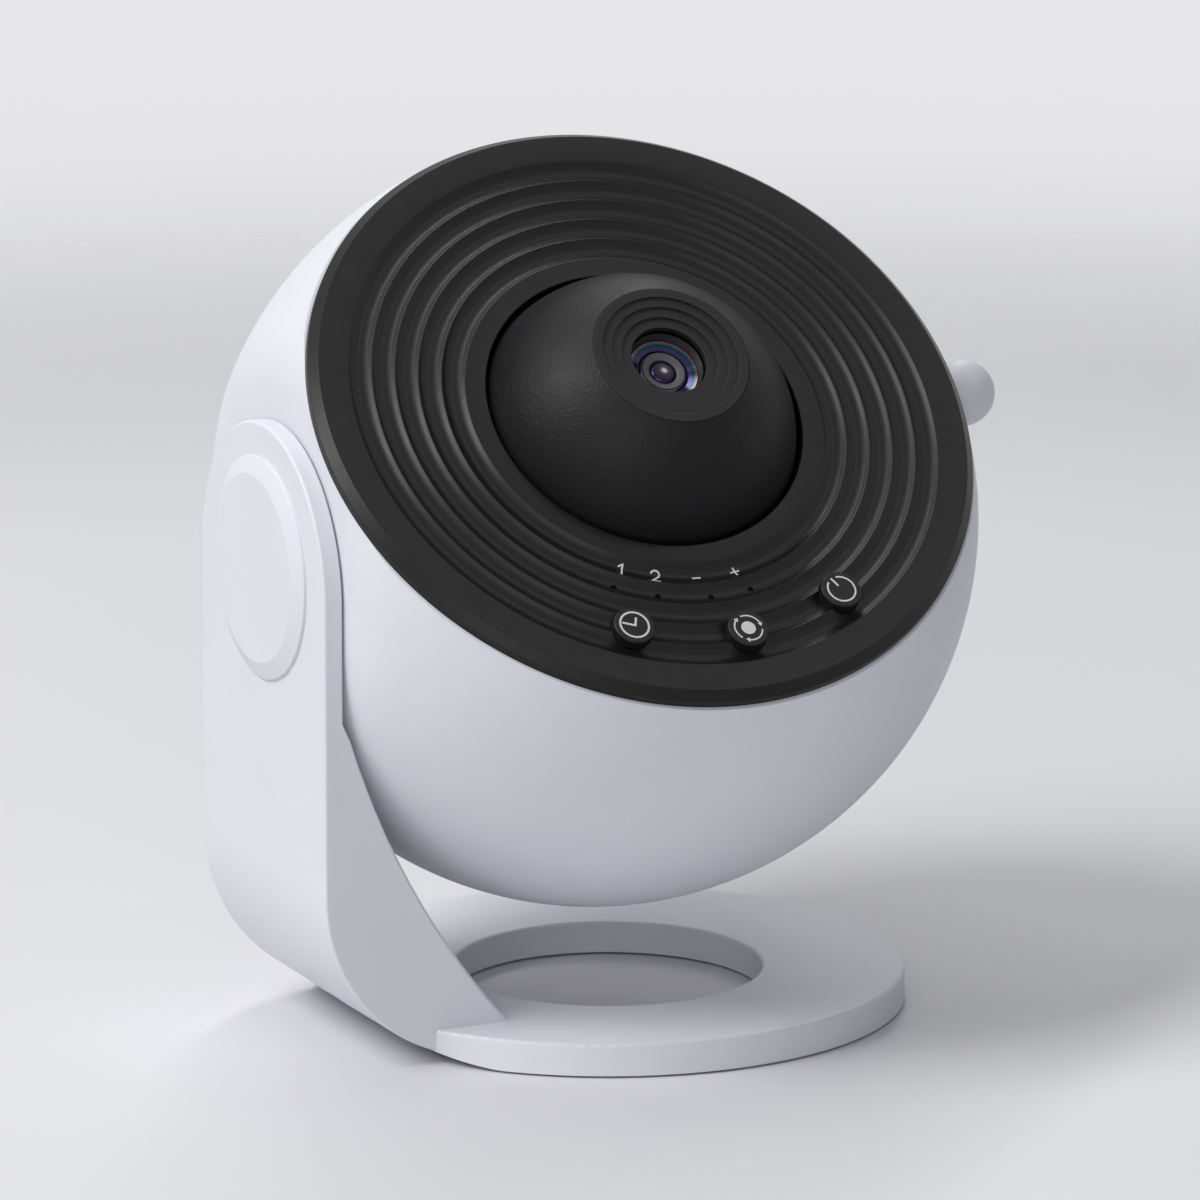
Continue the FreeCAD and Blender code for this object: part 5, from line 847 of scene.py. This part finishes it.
# the ink's top above and its underside below the surface, the points across a
# stroke, and the lift of one stroke over another that it crosses
INK_TOP, INK_SINK, ACROSS_STROKE, INK_LIFT = 0.035, 0.04, 5, 0.006
STROKE_STEP, ARC_STEP = 0.18, 6.0
# the shortest share of the half width that a mitred corner is divided by
MITRE_LIMIT = 0.6
SAME_POINT = 1e-9


def arc_points(radius, start, end, middle=(0.0, 0.0)):
    """An arc with a point at about every ARC_STEP degrees."""
    return arc(middle, radius, start, end, max(2, int(abs(end - start) / ARC_STEP)))


def divided(points):
    """The same path with points close enough to follow the grooves."""
    path = [Vector(points[0])]
    for start, end in zip(points, points[1:]):
        start, end = Vector(start), Vector(end)
        count = max(1, math.ceil((end - start).length / STROKE_STEP))
        path += [start.lerp(end, n / count) for n in range(1, count + 1)]
    return path


def stroke_sides(path, width, closed):
    """For each point of the path, the way from its middle to the stroke's left edge."""
    count = len(path)
    for number, spot in enumerate(path):
        if closed:
            before, after = path[number - 1], path[(number + 1) % count]
        else:
            before, after = path[max(number - 1, 0)], path[min(number + 1, count - 1)]
        enter, leave = (spot - before), (after - spot)
        if enter.length < SAME_POINT:
            enter = leave
        if leave.length < SAME_POINT:
            leave = enter
        normal = enter.normalized() + leave.normalized()
        normal = Vector((-normal.y, normal.x)).normalized()
        mitre = max(MITRE_LIMIT,
                    normal.dot(Vector((-enter.y, enter.x)).normalized()))
        yield spot, normal * (width / 2 / mitre)


def stroke(verts, faces, points, width, surface_height, closed=False, lift=0.0):
    """Add one closed strip of ink along the path."""
    path = divided(points + points[:1] if closed else points)
    if closed:
        path.pop()
    first, count = len(verts), len(path)
    for spot, side in stroke_sides(path, width, closed):
        for share in np.linspace(1, -1, ACROSS_STROKE):
            edge = spot + side * share
            height = surface_height(edge)
            verts.append((edge.x, edge.y, height + INK_TOP + lift))
            verts.append((edge.x, edge.y, height - INK_SINK))
    row = 2 * ACROSS_STROKE
    for number in range(count if closed else count - 1):
        a = first + number * row
        b = first + (number + 1) % count * row
        for step in range(0, row - 2, 2):
            faces += [(a + step, b + step, b + step + 2, a + step + 2),
                      (a + step + 1, a + step + 3, b + step + 3, b + step + 1)]
        faces += [(a, a + 1, b + 1, b),
                  (a + row - 2, b + row - 2, b + row - 1, a + row - 1)]
    if not closed:
        a, b = first, first + (count - 1) * row
        for step in range(0, row - 2, 2):
            faces += [(a + step, a + step + 2, a + step + 3, a + step + 1),
                      (b + step, b + step + 1, b + step + 3, b + step + 2)]


def blot(verts, faces, points, surface_height, lift=0.0):
    """Add one closed patch of ink inside the points."""
    first, count = len(verts), len(points)
    for point in points:
        height = surface_height(Vector(point))
        verts.append((point[0], point[1], height + INK_TOP + lift))
        verts.append((point[0], point[1], height - INK_SINK))
    faces.append(tuple(first + 2 * n for n in range(count)))
    faces.append(tuple(first + 2 * n + 1 for n in reversed(range(count))))
    for number in range(count):
        a, b = first + 2 * number, first + 2 * ((number + 1) % count)
        faces.append((a, a + 1, b + 1, b))


def level_top(_spot):
    """The button's flat top."""
    return 0.0


FULL_RING = (0, 354)
CLOCK_RING, CLOCK_LINE, HAND_LINE = 2.45, 0.34, 0.36
CLOCK_HANDS = [(0.15, 1.5), (0.15, -0.1), (-2.1, -0.1)]
TURN_DOT, TURN_RING, TURN_LINE = 1.25, 2.4, 0.26
# where the three arrows end, and in degrees from there the reach of their line
# and of their head
TURN_ENDS, TURN_SPAN, TURN_HEAD = (5, 245, 125), (98, 6), (-7, 9)
ARROW_OUTER, ARROW_INNER = 2.83, 1.97
POWER_RING, POWER_SPAN, POWER_LINE = 2.4, (112, 428), 0.3
POWER_BAR, BAR_LINE = [(0, 2.55), (0, 0.75)], 0.32


def clock_sign(verts, faces):
    """A clock face with two hands."""
    stroke(verts, faces, arc_points(CLOCK_RING, *FULL_RING), CLOCK_LINE, level_top,
           closed=True)
    stroke(verts, faces, CLOCK_HANDS, HAND_LINE, level_top)


def turning_sign(verts, faces):
    """A dot with three arrows around it."""
    blot(verts, faces, arc_points(TURN_DOT, *FULL_RING), level_top)
    for end in TURN_ENDS:
        start, stop = (end + turn for turn in TURN_SPAN)
        stroke(verts, faces, arc_points(TURN_RING, start, stop), TURN_LINE, level_top)
        tip, back = (math.radians(end + turn) for turn in TURN_HEAD)
        corners = ((TURN_RING, tip), (ARROW_OUTER, back), (ARROW_INNER, back))
        head = [(radius * math.cos(turn), radius * math.sin(turn))
                for radius, turn in corners]
        blot(verts, faces, head, level_top, INK_LIFT)


def power_sign(verts, faces):
    """A ring that is open at the top, with a bar in the gap."""
    stroke(verts, faces, arc_points(POWER_RING, *POWER_SPAN), POWER_LINE, level_top)
    stroke(verts, faces, POWER_BAR, BAR_LINE, level_top)


SIGNS = {"timer": clock_sign, "rotation": turning_sign, "power": power_sign}
for key, draw in SIGNS.items():
    verts, faces = [], []
    draw(verts, faces)
    sign = new_piece(key + "_sign", verts, faces,
                     on_head(*BUTTON_PLACES[key], BUTTON_TOP))
    finish_piece(sign, INK, key + "_key", "white_shell")

# plain signs beside the lights: the angle on the panel, and the strokes
GLYPH_CIRCLE, GLYPH_LINE = 33.45, 0.3
GLYPHS = {
    "one": (-115.25, [[(-0.58, 0.62), (0.16, 1.18), (0.16, -1.25)]]),
    "two": (-105.15, [arc_points(0.72, 170, -36, (0.0, 0.48))
                      + [(-0.74, -1.14), (0.80, -1.14)]]),
    "minus": (-92.85, [[(-0.75, 0.0), (0.75, 0.0)]]),
    "plus": (-80.64, [[(-0.85, 0.0), (0.85, 0.0)], [(0.0, -0.85), (0.0, 0.85)]]),
}


def draped_from(spot):
    """The panel's height, with its grooves, at points in the spot's axes."""
    to_head = HEAD.inverted() @ spot

    def height(point):
        across = to_head @ Vector((point.x * MM, point.y * MM, 0))
        return face_height(math.hypot(across.x, across.y) / MM)

    return height


for name, (turn, paths) in GLYPHS.items():
    spot = on_head(*on_circle(GLYPH_CIRCLE, turn))
    verts, faces = [], []
    for number, path in enumerate(paths):
        stroke(verts, faces, path, GLYPH_LINE, draped_from(spot),
               lift=INK_LIFT * number)
    glyph = new_piece("sign_" + name, verts, faces, spot)
    finish_piece(glyph, INK, "head", "white_shell")

# --------------------------------------------------------------------------
# Knob and pivot cap
# --------------------------------------------------------------------------

KNOB, NECK = 5.7, 2.6
# the ball's arc stops just short of its top, where one point closes it
KNOB_END = 89.9
knob_points = node_points("focus_knob", FOCUS)
knob_top = knob_points[:, 2].max()
neck_bottom = knob_points[:, 2].min()
knob_middle = knob_top - KNOB
knob_turn = math.degrees(-math.acos(NECK / KNOB))
knob_outline = ([(0, neck_bottom), (NECK, neck_bottom)]
                + arc((0, knob_middle), KNOB, knob_turn, KNOB_END, 64)
                + [(0, knob_top)])
knob = lathe("ball_knob", knob_outline, FOCUS, 128)
finish_piece(knob, WHITE, "focus_drive", "white_shell", "focus_knob")

CAP_BASE, CAP_TOP, CAP_HEIGHT, CAP_LIP = 18.8, 15.9, 1.7, 0.5
CAP_BASE_SOFT, CAP_TOP_SOFT = 0.2, 0.6
cap_low, cap_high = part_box("pivot_cap")
arm_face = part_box("stand")[0].x
cap_middle = Vector((arm_face, (cap_low.y + cap_high.y) / 2,
                     (cap_low.z + cap_high.z) / 2))
cap_axes = axes_matrix(cap_middle, Vector((0, 0, 1)), Vector((0, 1, 0)),
                       Vector((-1, 0, 0)))
cap_outline = rounded([
    (0, 0), (CAP_BASE, 0), (CAP_BASE, CAP_LIP, CAP_BASE_SOFT),
    (CAP_TOP, CAP_HEIGHT, CAP_TOP_SOFT), (0, CAP_HEIGHT)], 6)
cap = lathe("pivot_cover", cap_outline, cap_axes, 256)
finish_piece(cap, WHITE, "stand", "white_shell", "pivot_cap")

# --------------------------------------------------------------------------
# Stand: the base ends where the arm's round corner comes down to the floor
# --------------------------------------------------------------------------

CORNER, FOOT_PROUD, TRIM_GAP = 30.0, 0.4, 0.1
TRIM_FROM, TRIM_TO, TRIM_STEPS = 270, 215, 48
# the cutter's outer sides, well clear of the stand
TRIM_LEFT, TRIM_DOWN, TRIM_SIDE = -90.0, -2.0, 70.0


def corner_trim():
    """A cutter for what lies outside the arm's round corner."""
    corner_x, corner_z = arm_face / MM + CORNER, FOOT_PROUD + CORNER
    side = arc((corner_x, corner_z), CORNER + TRIM_GAP, TRIM_FROM, TRIM_TO, TRIM_STEPS)
    profile = [(corner_x, TRIM_DOWN)] + side + [(TRIM_LEFT, side[-1][1]),
                                                (TRIM_LEFT, TRIM_DOWN)]
    count = len(profile)
    verts = [(x, y, z) for y in (-TRIM_SIDE, TRIM_SIDE) for x, z in profile]
    faces = [tuple(range(count)), tuple(range(2 * count - 1, count - 1, -1))]
    faces += [(n, (n + 1) % count, count + (n + 1) % count, count + n)
              for n in range(count)]
    return new_piece("corner_trim", verts, faces, Matrix.Identity(4))


stand = node_copy("stand_trimmed", "stand", corner_trim())
finish_piece(stand, WHITE, "stand", "white_shell", "stand")
foot = node_copy("foot_pad_trimmed", "base_foot_pad", corner_trim())
finish_piece(foot, RUBBER, "stand", "rubber", "base_foot_pad")
# the rear cover keeps its shape and gets even shading
rear = node_copy("rear_shell", "rear_cover")
finish_piece(rear, WHITE, "head", "white_shell", "rear_cover")

# --------------------------------------------------------------------------
# Floor, light and camera
# --------------------------------------------------------------------------

# the floor's sizes in millimetres
FLOOR_RADIUS, FLOOR_THICKNESS, FLOOR_COLOUR = 1500, 2, (0.70, 0.70, 0.72, 1.0)
# distances in metres between which the floor fades into the background
FADE_START, FADE_END = 0.30, 0.80
WORLD_LIGHT, WORLD_STRENGTH = (0.93, 0.95, 1.0, 1.0), 0.21
BACKGROUND = (0.80, 0.80, 0.82, 1.0)

# the camera that was fitted to the photo
CAMERA_RIGHT = Vector((0.910258, -0.414041, 0.0000126))
CAMERA_UP = Vector((0.100382, 0.220718, 0.970158))
CAMERA_BACK = Vector((-0.401688, -0.883093, 0.242472))
CAMERA_PLACE = Vector((-0.86459, -1.89769, 0.59032))
CAMERA_LENS, CAMERA_SENSOR = 383.64288, 36.0

LAMP_DISTANCE = 2.0
MIDDLE = (cad_low + cad_high) / 2


def floor_material():
    """Pale, and fading into the background far from the object."""
    material = bpy.data.materials.new("pale_floor")
    material.use_nodes = True
    tree = material.node_tree
    shader = tree.nodes["Principled BSDF"]
    fill(shader, {"Base Color": FLOOR_COLOUR, "Roughness": 0.5,
                  "Specular IOR Level": 0.3})
    length = add_node(tree, "VectorMath", {
        0: add_node(tree, "TexCoord").outputs["Object"]}, operation="LENGTH")
    fade = add_node(tree, "MapRange", {
        "From Min": FADE_START, "From Max": FADE_END,
        "Value": length.outputs["Value"]}, interpolation_type="SMOOTHERSTEP")
    clear = add_node(tree, "BsdfTransparent")
    mix = add_node(tree, "MixShader", {"Fac": fade.outputs["Result"],
                                       1: shader.outputs["BSDF"],
                                       2: clear.outputs["BSDF"]})
    fill(tree.nodes["Material Output"], {"Surface": mix.outputs["Shader"]})
    return material


def studio_world():
    """Soft light, and a pale background for what the camera, gloss and glass see."""
    world = bpy.data.worlds.new("studio")
    bpy.context.scene.world = world
    world.use_nodes = True
    tree = world.node_tree
    lit = tree.nodes["Background"]
    fill(lit, {"Color": WORLD_LIGHT, "Strength": WORLD_STRENGTH})
    seen = add_node(tree, "Background", {"Color": BACKGROUND})
    path = add_node(tree, "LightPath")
    any_ray = path.outputs["Is Camera Ray"]
    for ray in ("Is Glossy Ray", "Is Transmission Ray"):
        pick = add_node(tree, "Math", {0: any_ray, 1: path.outputs[ray]},
                        operation="MAXIMUM")
        any_ray = pick.outputs["Value"]
    choose = add_node(tree, "MixShader", {"Fac": any_ray, 1: lit.outputs["Background"],
                                          2: seen.outputs["Background"]})
    fill(tree.nodes["World Output"], {"Surface": choose.outputs["Shader"]})


def placed(name, data, matrix):
    """A new object in the scene at the matrix."""
    holder = bpy.data.objects.new(name, data)
    bpy.context.scene.collection.objects.link(holder)
    holder.matrix_world = matrix
    return holder


def softbox(name, right, up, back, size, power, length=None, along=CAMERA_UP):
    """A lamp that looks at the object from a direction in the camera's axes.

    It is as wide as size and as long as length, which lies along the last vector.
    """
    way = (CAMERA_RIGHT * right + CAMERA_UP * up + CAMERA_BACK * back).normalized()
    side = along.cross(way).normalized()
    lamp = bpy.data.lights.new(name, "AREA")
    lamp.shape = "RECTANGLE"
    lamp.size = size
    lamp.size_y = length or size
    lamp.energy = power
    placed(name, lamp, axes_matrix(MIDDLE + way * LAMP_DISTANCE, side,
                                   way.cross(side), way))


floor = lathe("floor", [(0, -FLOOR_THICKNESS), (FLOOR_RADIUS, -FLOOR_THICKNESS),
                        (FLOOR_RADIUS, 0), (0, 0)], Matrix.Identity(4), 96)
floor.data.materials.append(floor_material())
studio_world()

# the key lights the grooves' slopes and the arm, the front lamp fills the front,
# and the overhead strip and the small lamp give the lens its crescent and glint
softbox("key_lamp", -0.61, 0.64, 0.47, 1.0, 30.0)
softbox("front_lamp", -0.1, 0.05, 1.0, 1.2, 7.5)
softbox("top_lamp", -0.14, 0.954, -0.265, 0.2, 13.0, 2.6,
        CAMERA_RIGHT * 0.428 - CAMERA_UP * 0.094 - CAMERA_BACK * 0.899)
softbox("lens_lamp", 0.435, 0.877, 0.204, 0.18, 0.7)

camera = bpy.data.cameras.new("camera")
camera.lens = CAMERA_LENS
camera.sensor_width = CAMERA_SENSOR
bpy.context.scene.camera = placed(
    "camera", camera,
    axes_matrix(CAMERA_PLACE, CAMERA_RIGHT, CAMERA_UP, CAMERA_BACK))
bpy.context.scene.view_settings.view_transform = "Standard"
